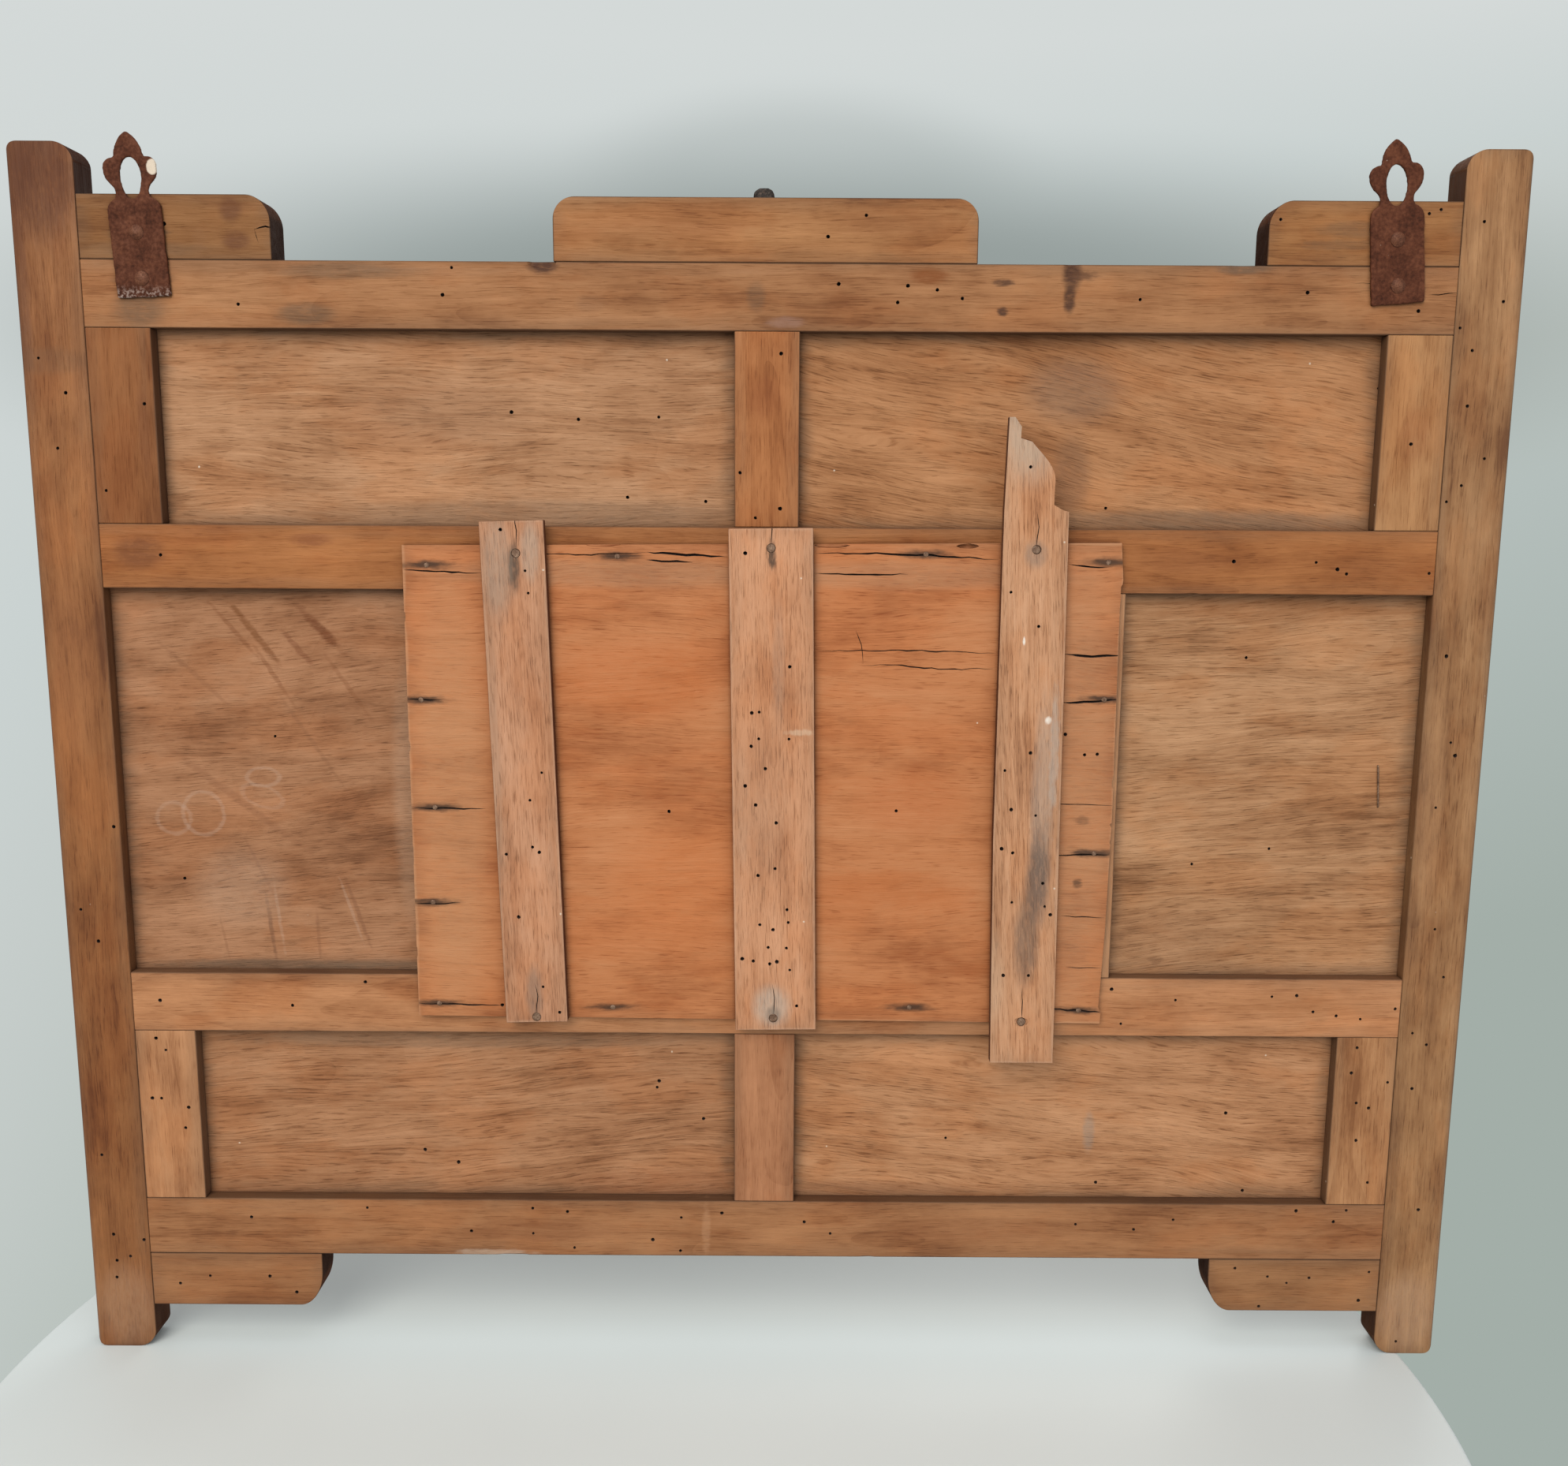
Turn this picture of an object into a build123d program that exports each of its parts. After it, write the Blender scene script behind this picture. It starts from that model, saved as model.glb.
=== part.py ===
from build123d import *
import os
from math import cos, radians, sin

# A hall board that hangs on a wall: a frame of posts, rails, stiles and muntins round six thin panels
# and a mirror, with a thin board and three battens nailed over the mirror's back, two iron hanging
# eyes, and three iron coat hooks on the front. Millimetres.
# +Z is up, +X runs to the right as seen from behind, and -Y is the side that faces the wall.
# The origin is on the centre line, in the plane of the frame's back, level with the two eyes.

# The frame
frame_thickness = 20.0
inner_width = 728.0  # between the posts
post_width = 36.0
post_foot = 60.0  # the post's length below the bottom rail
post_head = 59.0  # and above the top rail
rail_height = 35.0
lower_row_height = 103.0
middle_row_height = 219.0
upper_row_height = 103.0
side_stile_width = 35.0
centre_muntin_width = 35.0
centre_muntin_shift = -1.0  # hand work: the centre muntins and the crest stand a little to the left
mirror_sight_width = 322.0
middle_muntin_width = 35.0

# Worn edges and rounded ends
arris = 0.6
post_arris = 4.5  # the post's outer long edges
post_inner_arris = 0.8
post_outer_corner = 7.0
post_inner_corner = 11.0

# Joints
tenon_thickness = 7.0
tenon_shoulder = 6.0
rail_tenon_length = 26.0
stile_tenon_length = 15.0
mortise_clearance = 0.5  # the glue space at a tenon's end
tenon_root = 2.0  # how far a tenon's solid starts inside its own member

# Panels
panel_thickness = 5.0
panel_recess = 8.0  # below the frame's back face
panel_entry = 5.0  # how far a panel goes into its grooves
groove_depth = 6.0

# Blocks on the outside of the frame
block_length = 101.5
block_height = 33.0
top_block_corner = (13.0, 14.5)  # the free corner's half axes, along and across the block
bottom_block_corner = (14.0, 23.0)
crest_length = 224.0
crest_height = 33.0
crest_shift = -2.0
crest_corner = 11.5
dowel_diameter = 8.0
dowel_in_block = 15.0
dowel_web = 4.0  # wood left between a dowel and the stile tenon below it
dowel_inset = 19.0  # from the post, and from the free end
crest_dowel_inset = 42.0

# Mirror and the board over its back
mirror_thickness = 4.0
mirror_rebate = 8.0
mirror_clearance = 1.0
board_thickness = 4.0
board_lap_left = 37.5
board_lap_right = 30.5
board_lap_top = (24.3, 27.7)  # at the left and the right end
board_lap_bottom = (23.3, 25.8)

# Battens
batten_thickness = 6.0
side_batten_width = 34.8
middle_batten_width = 45.6
right_batten_width = 35.6
left_batten_reach = (24.9, 37.8)  # below and above the mirror's opening
middle_batten_reach = (28.6, 34.6)
right_batten_reach = (47.2, 44.2)  # its whole width ends at the second, and the broken tip goes on
left_batten_inset = 27.2  # its centre line from the mirror's opening
middle_batten_shift = 3.5
right_batten_inset = 16.8
left_batten_tilt = 1.6  # degrees, the top to the left
middle_batten_tilt = 0.8

# Nails
board_nail = {"head": 3.6, "rise": 0.5, "shank": 1.8, "length": 10.4}
batten_nail = {"head": 5.0, "rise": 0.0, "shank": 2.2, "length": 16.4}  # driven in flush
flush_head = 1.0  # the thickness of a flush nail's head
iron_nail = {"head": 8.0, "rise": 1.5, "shank": 3.0, "length": 14.0}
batten_nail_inset = 24.0  # beyond the mirror's opening, above it
batten_nail_lower_inset = 21.5  # and below it

# Hanging eyes, cut from iron plate
iron_thickness = 2.0
plate_width = 28.4
plate_drop = 60.3  # the plate's foot below the eye's centre
plate_lap = 19.7  # how far the plate reaches down the top rail
plate_shoulder = 15.5  # the shoulder's start below the eye's centre
eye_width = 10.8
eye_height = 20.6
lobe_width = 28.2
spear_height = 23.3
left_eye_inset = 30.3  # from the post
right_eye_inset = 36.5
left_eye_tilt = 3.2  # degrees, the spear to the left
right_eye_tilt = 4.7
plate_nail_drops = (27.4, 50.8)  # below the eye's centre

# Coat hooks, forged from strap
hook_width = 11.5
hook_thickness = 3.0
hook_straight = 74.0
hook_bend = 16.0
hook_rise = 9.0
hook_curl = 5.0
hook_curl_angle = 150.0
hook_corner = 4.5
hook_nail_drops = (22.0, 56.0)
side_hook_tops = (1.0, 4.2)  # above the side blocks, left and right
centre_hook_top = 9.3  # above the crest
centre_hook_shift = -1.2
right_hook_tilt = 7.0  # degrees, its head leaning to the right

# A wire staple left in the right panel
staple_wire = 1.0
staple_length = 25.0
staple_leg = 4.0
staple_inset = 19.0  # from the post
staple_tilt = -4.0

# Levels, from the eyes down
top_edge = plate_lap - plate_drop
top_rail_low = top_edge - rail_height
upper_row_low = top_rail_low - upper_row_height
upper_middle_rail_low = upper_row_low - rail_height
middle_row_low = upper_middle_rail_low - middle_row_height
lower_middle_rail_low = middle_row_low - rail_height
lower_row_low = lower_middle_rail_low - lower_row_height
bottom_edge = lower_row_low - rail_height
foot_level = bottom_edge - post_foot
head_level = top_edge + post_head
middle_of_row = (middle_row_low + upper_middle_rail_low) / 2

# Places across
inner_half = inner_width / 2
sight_half = mirror_sight_width / 2
muntin_outer = sight_half + middle_muntin_width
stile_inner = inner_half - side_stile_width
centre_left = centre_muntin_shift - centre_muntin_width / 2
centre_right = centre_muntin_shift + centre_muntin_width / 2

# The panels' openings: left, right, low, high
rows = {
    "upper": (upper_row_low, top_rail_low),
    "middle": (middle_row_low, upper_middle_rail_low),
    "lower": (lower_row_low, lower_middle_rail_low),
}
openings = {
    "upper_left": (-stile_inner, centre_left, *rows["upper"]),
    "upper_right": (centre_right, stile_inner, *rows["upper"]),
    "middle_left": (-inner_half, -muntin_outer, *rows["middle"]),
    "middle_right": (muntin_outer, inner_half, *rows["middle"]),
    "lower_left": (-stile_inner, centre_left, *rows["lower"]),
    "lower_right": (centre_right, stile_inner, *rows["lower"]),
}


def at_depth(depth):
    """The plane that lies a depth in front of the frame's back face."""
    return Plane.XZ.offset(-depth)


def leaning(x, depth, z, lean):
    """A plane parallel to the back face, its Y axis leaning to the left of upright, in degrees."""
    turn = radians(lean)
    return Plane(origin=(x, depth, z), x_dir=(cos(turn), 0, sin(turn)), z_dir=(0, -1, 0))


def slab(left, right, low, high, back, front, mode=Mode.ADD):
    """A rectangular board between two edges, two levels and two depths, added or cut."""
    with BuildSketch(at_depth(back)) as outline:
        with Locations(((left + right) / 2, (low + high) / 2)):
            Rectangle(right - left, high - low)
    extrude(outline.sketch, amount=back - front, mode=mode)


def tenon(left, right, low, high, mode=Mode.ADD):
    """A tenon, or with Mode.SUBTRACT its mortise."""
    middle = frame_thickness / 2
    slab(left, right, low, high, middle - tenon_thickness / 2, middle + tenon_thickness / 2, mode)


def cut_groove(opening):
    """The groove that holds a panel's edges, cut round its opening."""
    left, right, low, high = opening
    slab(
        left - groove_depth, right + groove_depth, low - groove_depth, high + groove_depth,
        panel_recess, panel_recess + panel_thickness, Mode.SUBTRACT,
    )


def cut_mirror_rebate():
    """The step on the frame's back that the mirror lies in."""
    slab(
        -sight_half - mirror_rebate, sight_half + mirror_rebate,
        middle_row_low - mirror_rebate, upper_middle_rail_low + mirror_rebate,
        0, mirror_thickness, Mode.SUBTRACT,
    )


def save(part, name):
    """Labels a finished piece and writes its file."""
    part.label = name
    export_step(part, f"parts/{name}.step")


os.makedirs("parts", exist_ok=True)


# Nails: the origin is in the surface that a nail is driven into, and the shank points down
def nail(size):
    """One round nail with a pointed shank, and a head that's domed above the surface or flush in it."""
    head, shank, rise = size["head"] / 2, size["shank"] / 2, size["rise"]
    under = 0 if rise else -flush_head
    with BuildPart() as made:
        with BuildSketch(Plane.XZ) as half:
            with BuildLine():
                if rise:
                    top = ThreePointArc((0, rise), (head * 0.7, rise * 0.62), (head, 0))
                else:
                    top = Line((0, 0), (head, 0))
                    Line((head, 0), (head, under))
                Polyline((head, under), (shank, under), (shank, shank * 2 - size["length"]))
                Line((shank, shank * 2 - size["length"]), (0, -size["length"]))
                Line((0, -size["length"]), top @ 0)
            make_face()
        revolve(half.sketch, axis=Axis.Z)
    return made.part


def back_nail(x, z, depth):
    """The place of a nail driven from behind, with its head on a surface at that depth."""
    return Plane(origin=(x, depth, z), x_dir=(1, 0, 0), z_dir=(0, -1, 0))


def front_nail(x, z, depth):
    """The place of a nail driven from the front."""
    return Plane(origin=(x, depth, z), x_dir=(-1, 0, 0), z_dir=(0, 1, 0))


board_left = -sight_half - board_lap_left
board_right = sight_half + board_lap_right
# hammered in by eye along the board's edges, over the wood behind it
board_nail_places = [
    (board_left + 13.1, upper_middle_rail_low + 13.7),
    (board_left + 116.7, upper_middle_rail_low + 19.0),
    (board_right - 105.9, upper_middle_rail_low + 21.0),
    (board_right - 6.8, upper_middle_rail_low + 17.3),
    (board_left + 7.5, upper_middle_rail_low - 60.2),
    (board_left + 13.2, middle_of_row - 11.2),
    (board_left + 10.3, middle_row_low + 43.6),
    (board_left + 11.8, middle_row_low - 16.0),
    (board_left + 110.9, middle_row_low - 17.7),
    (board_right - 109.9, middle_row_low - 16.8),
    (board_right - 13.2, middle_row_low - 18.0),
    (board_right - 6.1, upper_middle_rail_low - 57.8),
    (board_right - 8.1, middle_of_row - 35.3),
]
batten_centres = {
    "left": -sight_half + left_batten_inset,
    "middle": middle_batten_shift,
    "right": sight_half - right_batten_inset,
}
batten_nail_places = [
    (batten_centres["left"] - 1.9, upper_middle_rail_low + batten_nail_inset - 3.5),
    (batten_centres["left"] + 3.6, middle_row_low - batten_nail_lower_inset),
    (batten_centres["middle"] - 1.8, upper_middle_rail_low + batten_nail_inset),
    (batten_centres["middle"] + 0.5, middle_row_low - batten_nail_lower_inset),
    (batten_centres["right"] + 0.2, upper_middle_rail_low + batten_nail_inset),
    (batten_centres["right"] + 0.6, middle_row_low - batten_nail_lower_inset - 1.4),
]

with BuildPart() as board_nails:
    with Locations(*[back_nail(x, z, -board_thickness) for x, z in board_nail_places]):
        add(nail(board_nail))
save(board_nails.part, "board_nails")

batten_back = -board_thickness - batten_thickness
with BuildPart() as batten_nails:
    with Locations(*[back_nail(x, z, batten_back) for x, z in batten_nail_places]):
        add(nail(batten_nail))
save(batten_nails.part, "batten_nails")

# Hanging eyes: each turns about the centre of its eye
eyes = {
    "left": (-inner_half + left_eye_inset, left_eye_tilt),
    "right": (inner_half - right_eye_inset, right_eye_tilt),
}


def eye_plane(side, depth):
    """A hanging eye's own plane: its origin in the eye, its Y axis up the spear."""
    x, tilt = eyes[side]
    return leaning(x, depth, 0, tilt)


def plate_nail_place(side, drop):
    """Where a nail goes through a hanging plate, a drop below its eye."""
    return Location(eye_plane(side, -iron_thickness)) * Location((0, -drop, 0))


with BuildPart() as hanger_nails:
    with Locations(*[plate_nail_place(side, drop) for side in eyes for drop in plate_nail_drops]):
        add(nail(iron_nail))
save(hanger_nails.part, "hanger_nails")


def hanging_eye(side):
    """An iron plate with a lobed eye and a spear tip above it, nailed over a block and the top rail."""
    neck = (plate_width * 0.33, -eye_height / 2 + 0.3)
    lobe_side = (lobe_width / 2, eye_height * 0.21)
    lobe_top = (lobe_width * 0.33, eye_height / 2 + 0.1)
    notch = (lobe_width * 0.275, eye_height / 2 - 0.1)
    with BuildPart() as made:
        with BuildSketch(eye_plane(side, 0)) as outline:
            with BuildLine():
                Line((0, -plate_drop), (plate_width / 2, -plate_drop))
                Line((plate_width / 2, -plate_drop), (plate_width / 2, -plate_shoulder))
                ThreePointArc(
                    (plate_width / 2, -plate_shoulder),
                    (plate_width * 0.44, -plate_shoulder * 0.77),
                    neck,
                )
                waist = (plate_width * 0.31, -eye_height * 0.3)
                Spline(neck, waist, lobe_side, tangents=((-0.3, 1), (0, 1)))
                ThreePointArc(lobe_side, (lobe_width * 0.46, eye_height * 0.42), lobe_top)
                Line(lobe_top, notch)
                ThreePointArc(notch, (lobe_width * 0.22, spear_height * 0.72), (0, spear_height))
                mirror(about=Plane.YZ)
            make_face()
            Ellipse(eye_width / 2, eye_height / 2, mode=Mode.SUBTRACT)
        extrude(outline.sketch, amount=iron_thickness)
        fillet(made.edges().filter_by(GeomType.LINE).filter_by(Axis.Y), 1.2)
        add(hanger_nails.part, mode=Mode.SUBTRACT)
    return made.part


for side in eyes:
    save(hanging_eye(side), f"{side}_hanging_eye")

# Coat hooks on the front of the blocks and the crest: x, level of the top, tilt in degrees
block_middle = inner_half - block_length / 2
hooks = {
    "left": (-block_middle, top_edge + block_height + side_hook_tops[0], 0.0),
    "centre": (crest_shift + centre_hook_shift, top_edge + crest_height + centre_hook_top, 0.0),
    "right": (block_middle, top_edge + block_height + side_hook_tops[1], right_hook_tilt),
}


def hook_frame(name):
    """A hook's own frame: its origin at its upper nail on the wood, Y towards the room and Z up."""
    x, top, tilt = hooks[name]
    return Location((x, frame_thickness, top - hook_nail_drops[0]), (0, tilt, 0))


def hook_nail_place(name, drop):
    """Where a nail goes through a hook's strap, a drop below the hook's top."""
    seat = Location(front_nail(0, hook_nail_drops[0] - drop, hook_thickness))
    return hook_frame(name) * seat


with BuildPart() as hook_nails:
    with Locations(*[hook_nail_place(name, drop) for name in hooks for drop in hook_nail_drops]):
        add(nail(iron_nail))
save(hook_nails.part, "hook_nails")


def coat_hook(name):
    """A strap of iron with an arched head, bent forwards and up into a hook with a curled tip."""
    middle = hook_thickness / 2
    with BuildPart() as made:
        with BuildSketch(Plane.YZ) as profile:
            with BuildLine():
                back = Line((middle, hook_nail_drops[0]), (middle, hook_nail_drops[0] - hook_straight))
                bend = JernArc(back @ 1, back % 1, hook_bend, 180)
                rise = Line(bend @ 1, bend @ 1 + (bend % 1) * hook_rise)
                JernArc(rise @ 1, rise % 1, hook_curl, -hook_curl_angle)
            trace(line_width=hook_thickness)
        extrude(profile.sketch, amount=hook_width / 2, both=True)
        head_edges = made.edges().filter_by(Axis.Y).group_by(Axis.Z)[-1]
        fillet(head_edges, hook_corner)
    with BuildPart() as placed:
        add(made.part.moved(hook_frame(name)))
        add(hook_nails.part, mode=Mode.SUBTRACT)
    return placed.part


for name in hooks:
    save(coat_hook(name), f"{name}_coat_hook")

# Dowels that pin the blocks and the crest to the rails
dowel_in_rail = rail_height - stile_tenon_length - mortise_clearance - dowel_web
block_dowel_places = [inner_half - dowel_inset, inner_half - block_length + dowel_inset]
crest_dowel_places = [
    crest_shift - crest_length / 2 + crest_dowel_inset,
    crest_shift + crest_length / 2 - crest_dowel_inset,
]
with BuildPart() as block_dowels:
    for edge, up in ((top_edge, 1), (bottom_edge, -1)):
        across = [side * place for place in block_dowel_places for side in (-1, 1)]
        if up == 1:
            across += crest_dowel_places
        seat = Plane(origin=(0, frame_thickness / 2, edge), z_dir=(0, 0, up))
        with BuildSketch(seat) as circles:
            with Locations(*[(x, 0) for x in across]):
                Circle(dowel_diameter / 2)
        extrude(circles.sketch, amount=dowel_in_block)
        extrude(circles.sketch, amount=-dowel_in_rail)
save(block_dowels.part, "block_dowels")


def block_plane(x, level, side, up):
    """A block's plane: X from the post along the rail, Y away from the rail."""
    return Plane(origin=(x, 0, level), x_dir=(side, 0, 0), z_dir=(0, -side * up, 0))


def corner_block(side, up, corner):
    """A block glued into the corner of a post and a rail, with its free corner rounded."""
    along, across = corner
    level = top_edge if up == 1 else bottom_edge
    with BuildPart() as made:
        with BuildSketch(block_plane(-side * inner_half, level, side, up)) as outline:
            with BuildLine():
                Polyline(
                    (0, block_height), (0, 0), (block_length, 0), (block_length, block_height - across)
                )
                EllipticalCenterArc(
                    (block_length - along, block_height - across), along, across, arc_size=90
                )
                Line((block_length - along, block_height), (0, block_height))
            make_face()
        extrude(outline.sketch, amount=-side * up * frame_thickness)
        fillet(made.edges(), arris)
        add(block_dowels.part, mode=Mode.SUBTRACT)
        add(hanger_nails.part, mode=Mode.SUBTRACT)
        add(hook_nails.part, mode=Mode.SUBTRACT)
    return made.part


blocks = {
    "top_left_block": (1, 1, top_block_corner),
    "top_right_block": (-1, 1, top_block_corner),
    "bottom_left_block": (1, -1, bottom_block_corner),
    "bottom_right_block": (-1, -1, bottom_block_corner),
}
for name, shape in blocks.items():
    save(corner_block(*shape), name)

with BuildPart() as crest:
    with BuildSketch(at_depth(0)) as outline:
        with Locations((crest_shift, top_edge + crest_height / 2)):
            Rectangle(crest_length, crest_height)
        fillet(outline.vertices().group_by(Axis.Y)[-1], crest_corner)
    extrude(outline.sketch, amount=-frame_thickness)
    fillet(crest.edges(), arris)
    add(block_dowels.part, mode=Mode.SUBTRACT)
    add(hook_nails.part, mode=Mode.SUBTRACT)
save(crest.part, "crest")

# Rails, with a tenon at each end: lower edge, upper edge
rails = {
    "bottom_rail": (bottom_edge, lower_row_low),
    "lower_middle_rail": (lower_middle_rail_low, middle_row_low),
    "upper_middle_rail": (upper_middle_rail_low, upper_row_low),
    "top_rail": (top_rail_low, top_edge),
}
# Uprights between the rails: left edge, right edge, row, panels beside it
uprights = {
    "upper_left_stile": (-inner_half, -stile_inner, "upper", ["upper_left"]),
    "upper_right_stile": (stile_inner, inner_half, "upper", ["upper_right"]),
    "upper_centre_muntin": (centre_left, centre_right, "upper", ["upper_left", "upper_right"]),
    "middle_left_muntin": (-muntin_outer, -sight_half, "middle", ["middle_left"]),
    "middle_right_muntin": (sight_half, muntin_outer, "middle", ["middle_right"]),
    "lower_left_stile": (-inner_half, -stile_inner, "lower", ["lower_left"]),
    "lower_right_stile": (stile_inner, inner_half, "lower", ["lower_right"]),
    "lower_centre_muntin": (centre_left, centre_right, "lower", ["lower_left", "lower_right"]),
}


def upright_tenon(name):
    """The span of an upright's tenon across, inside its shoulders and clear of the mirror's rebate."""
    left, right, row, _ = uprights[name]
    left_cut = tenon_shoulder
    right_cut = tenon_shoulder
    if name == "middle_left_muntin":
        right_cut = mirror_rebate + 2
    if name == "middle_right_muntin":
        left_cut = mirror_rebate + 2
    return left + left_cut, right - right_cut, rows[row]


def frame_rail(name):
    """A rail between the posts, grooved for its panels and mortised for its uprights."""
    low, high = rails[name]
    tip = inner_half + rail_tenon_length
    with BuildPart() as made:
        slab(-inner_half, inner_half, low, high, 0, frame_thickness)
        fillet(made.edges(), arris)
        for left, right in ((-tip, tenon_root - inner_half), (inner_half - tenon_root, tip)):
            tenon(left, right, low + tenon_shoulder, high - tenon_shoulder)
        for opening in openings.values():
            if opening[2] == high or opening[3] == low:
                cut_groove(opening)
        for upright in uprights:
            left, right, (row_low, row_high) = upright_tenon(upright)
            reach = stile_tenon_length + mortise_clearance
            if row_low == high:
                tenon(left, right, high - reach, high, Mode.SUBTRACT)
            if row_high == low:
                tenon(left, right, low, low + reach, Mode.SUBTRACT)
        cut_mirror_rebate()
        for fasteners in (board_nails, batten_nails, hanger_nails, hook_nails, block_dowels):
            add(fasteners.part, mode=Mode.SUBTRACT)
    return made.part


for name in rails:
    save(frame_rail(name), name)


def frame_upright(name):
    """A stile or muntin between two rails, with a tenon at each end."""
    left, right, row, panels = uprights[name]
    tenon_left, tenon_right, (low, high) = upright_tenon(name)
    with BuildPart() as made:
        slab(left, right, low, high, 0, frame_thickness)
        fillet(made.edges(), arris)
        tenon(tenon_left, tenon_right, low - stile_tenon_length, low + tenon_root)
        tenon(tenon_left, tenon_right, high - tenon_root, high + stile_tenon_length)
        for panel in panels:
            cut_groove(openings[panel])
        if row == "middle":
            cut_mirror_rebate()
            add(board_nails.part, mode=Mode.SUBTRACT)
    return made.part


for name in uprights:
    save(frame_upright(name), name)


def frame_post(side):
    """A post with rounded ends and a rounded outer edge, mortised for the rails' tenons."""
    inner, outer = inner_half, inner_half + post_width
    with BuildPart() as made:
        with BuildSketch(Plane.XY.offset(foot_level)) as section:
            with Locations(((inner + outer) / 2, frame_thickness / 2)):
                Rectangle(post_width, frame_thickness)
            fillet(section.vertices().group_by(Axis.X)[-1], post_arris)
            fillet(section.vertices().group_by(Axis.X)[0], post_inner_arris)
        extrude(section.sketch, amount=head_level - foot_level)
        with BuildSketch(at_depth(0)) as outline:
            with Locations(((inner + outer) / 2, (foot_level + head_level) / 2)):
                Rectangle(post_width, head_level - foot_level)
            fillet(outline.vertices().group_by(Axis.X)[-1], post_outer_corner)
            fillet(outline.vertices().group_by(Axis.X)[0], post_inner_corner)
        extrude(outline.sketch, amount=-frame_thickness, mode=Mode.INTERSECT)
        for low, high in rails.values():
            reach = inner + rail_tenon_length + mortise_clearance
            tenon(inner, reach, low + tenon_shoulder, high - tenon_shoulder, Mode.SUBTRACT)
        cut_groove(openings["middle_right"])
        if side == "left":
            mirror(about=Plane.YZ, mode=Mode.REPLACE)
    return made.part


for side in ("left", "right"):
    save(frame_post(side), f"{side}_post")


# The wire staple: its crown lies on the panel and its legs go in
with BuildPart() as panel_staple:
    half = (staple_length - staple_wire) / 2
    crown = panel_recess - staple_wire / 2
    tip = panel_recess + staple_leg
    seat = Location((inner_half - staple_inset, 0, middle_of_row + 1.5), (0, staple_tilt, 0))
    with BuildLine() as wire:
        route = Polyline((0, tip, half), (0, crown, half), (0, crown, -half), (0, tip, -half))
        fillet(route.vertices().sort_by(Axis.Y)[:2], staple_wire)
    with BuildSketch(Plane(origin=(0, tip, half), z_dir=(0, -1, 0))) as section:
        Circle(staple_wire / 2)
    sweep(section.sketch, path=wire.line)
panel_staple.part = panel_staple.part.moved(seat)
save(panel_staple.part, "panel_staple")


def panel(name):
    """A thin panel, its edges held in the grooves."""
    left, right, low, high = openings[name]
    with BuildPart() as made:
        slab(
            left - panel_entry, right + panel_entry, low - panel_entry, high + panel_entry,
            panel_recess, panel_recess + panel_thickness,
        )
        if name == "middle_right":
            add(panel_staple.part, mode=Mode.SUBTRACT)
    return made.part


for name in openings:
    save(panel(name), f"{name}_panel")

with BuildPart() as mirror_glass:
    reach = mirror_rebate - mirror_clearance
    slab(
        -sight_half - reach, sight_half + reach, middle_row_low - reach, upper_middle_rail_low + reach,
        0, mirror_thickness,
    )
save(mirror_glass.part, "mirror_glass")

# The board over the mirror's back: not quite square, its right end split and ragged
with BuildPart() as back_board:
    with BuildSketch(at_depth(0)) as outline:
        with BuildLine():
            Polyline(
                (board_left, middle_row_low - board_lap_bottom[0]),
                (board_left, upper_middle_rail_low + board_lap_top[0]),
                (board_right, upper_middle_rail_low + board_lap_top[1]),
                (board_right + 1.6, upper_middle_rail_low + 8),
                (board_right + 0.4, upper_middle_rail_low - 7),
                (board_right + 1.2, middle_of_row - 12),
                (board_right, middle_of_row - 80),
                (board_right - 1.9, middle_row_low - 16),
                (board_right - 0.4, middle_row_low - 20),
                (board_right - 0.8, middle_row_low - board_lap_bottom[1]),
                close=True,
            )
        make_face()
    extrude(outline.sketch, amount=board_thickness)
    add(board_nails.part, mode=Mode.SUBTRACT)
    add(batten_nails.part, mode=Mode.SUBTRACT)
save(back_board.part, "back_board")


def batten_plane(name, tilt=0.0):
    """A batten's plane: its origin on its centre line, level with the middle of the mirror."""
    return leaning(batten_centres[name], -board_thickness, middle_of_row, tilt)


def plain_batten(name, width, reach, tilt):
    """A sawn batten that laps the rails below and above the mirror's opening."""
    below = middle_row_height / 2 + reach[0]
    above = middle_row_height / 2 + reach[1]
    with BuildPart() as made:
        with BuildSketch(batten_plane(name, tilt)) as outline:
            with Locations((0, (above - below) / 2)):
                Rectangle(width, above + below)
        extrude(outline.sketch, amount=batten_thickness)
        fillet(made.edges(), arris)
        add(batten_nails.part, mode=Mode.SUBTRACT)
    return made.part


save(plain_batten("left", side_batten_width, left_batten_reach, left_batten_tilt), "left_batten")
save(plain_batten("middle", middle_batten_width, middle_batten_reach, middle_batten_tilt), "middle_batten")

# The right batten has snapped off along its grain above the board. Its outline starts at the foot's
# right corner and goes round clockwise as seen from behind; the broken end is measured from the left
# edge and from the level up to which the batten is whole.
batten_wander = {"foot": 1.4, "low": 1.2, "knee": -0.6, "shoulder": 1.0}
break_steps = [(1.4, 49.4), (4.4, 49.4), (7.9, 44.5), (7.7, 38.5), (13.8, 36.6)]
break_curve = [(13.8, 36.6), (19.2, 30.6), (25.1, 22.7), (26.6, 13.4)]
break_foot = [(26.6, 13.4), (26.6, 3.5), (31.9, 0.6)]
with BuildPart() as right_batten:
    side = right_batten_width / 2
    foot = -middle_row_height / 2 - right_batten_reach[0]
    whole = middle_row_height / 2 + right_batten_reach[1]
    with BuildSketch(batten_plane("right")) as outline:
        with BuildLine():
            Polyline(
                (side - batten_wander["shoulder"], whole),
                (side + batten_wander["low"], foot + 40),
                (side + batten_wander["foot"], foot),
                (-side + batten_wander["foot"], foot),
                (-side + batten_wander["knee"], foot + 130),
                (-side, whole),
                *[(x - side, whole + rise) for x, rise in break_steps],
            )
            Spline(*[(x - side, whole + rise) for x, rise in break_curve])
            Polyline(
                *[(x - side, whole + rise) for x, rise in break_foot],
                (side - batten_wander["shoulder"], whole),
            )
        make_face()
    extrude(outline.sketch, amount=batten_thickness)
    add(batten_nails.part, mode=Mode.SUBTRACT)
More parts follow.
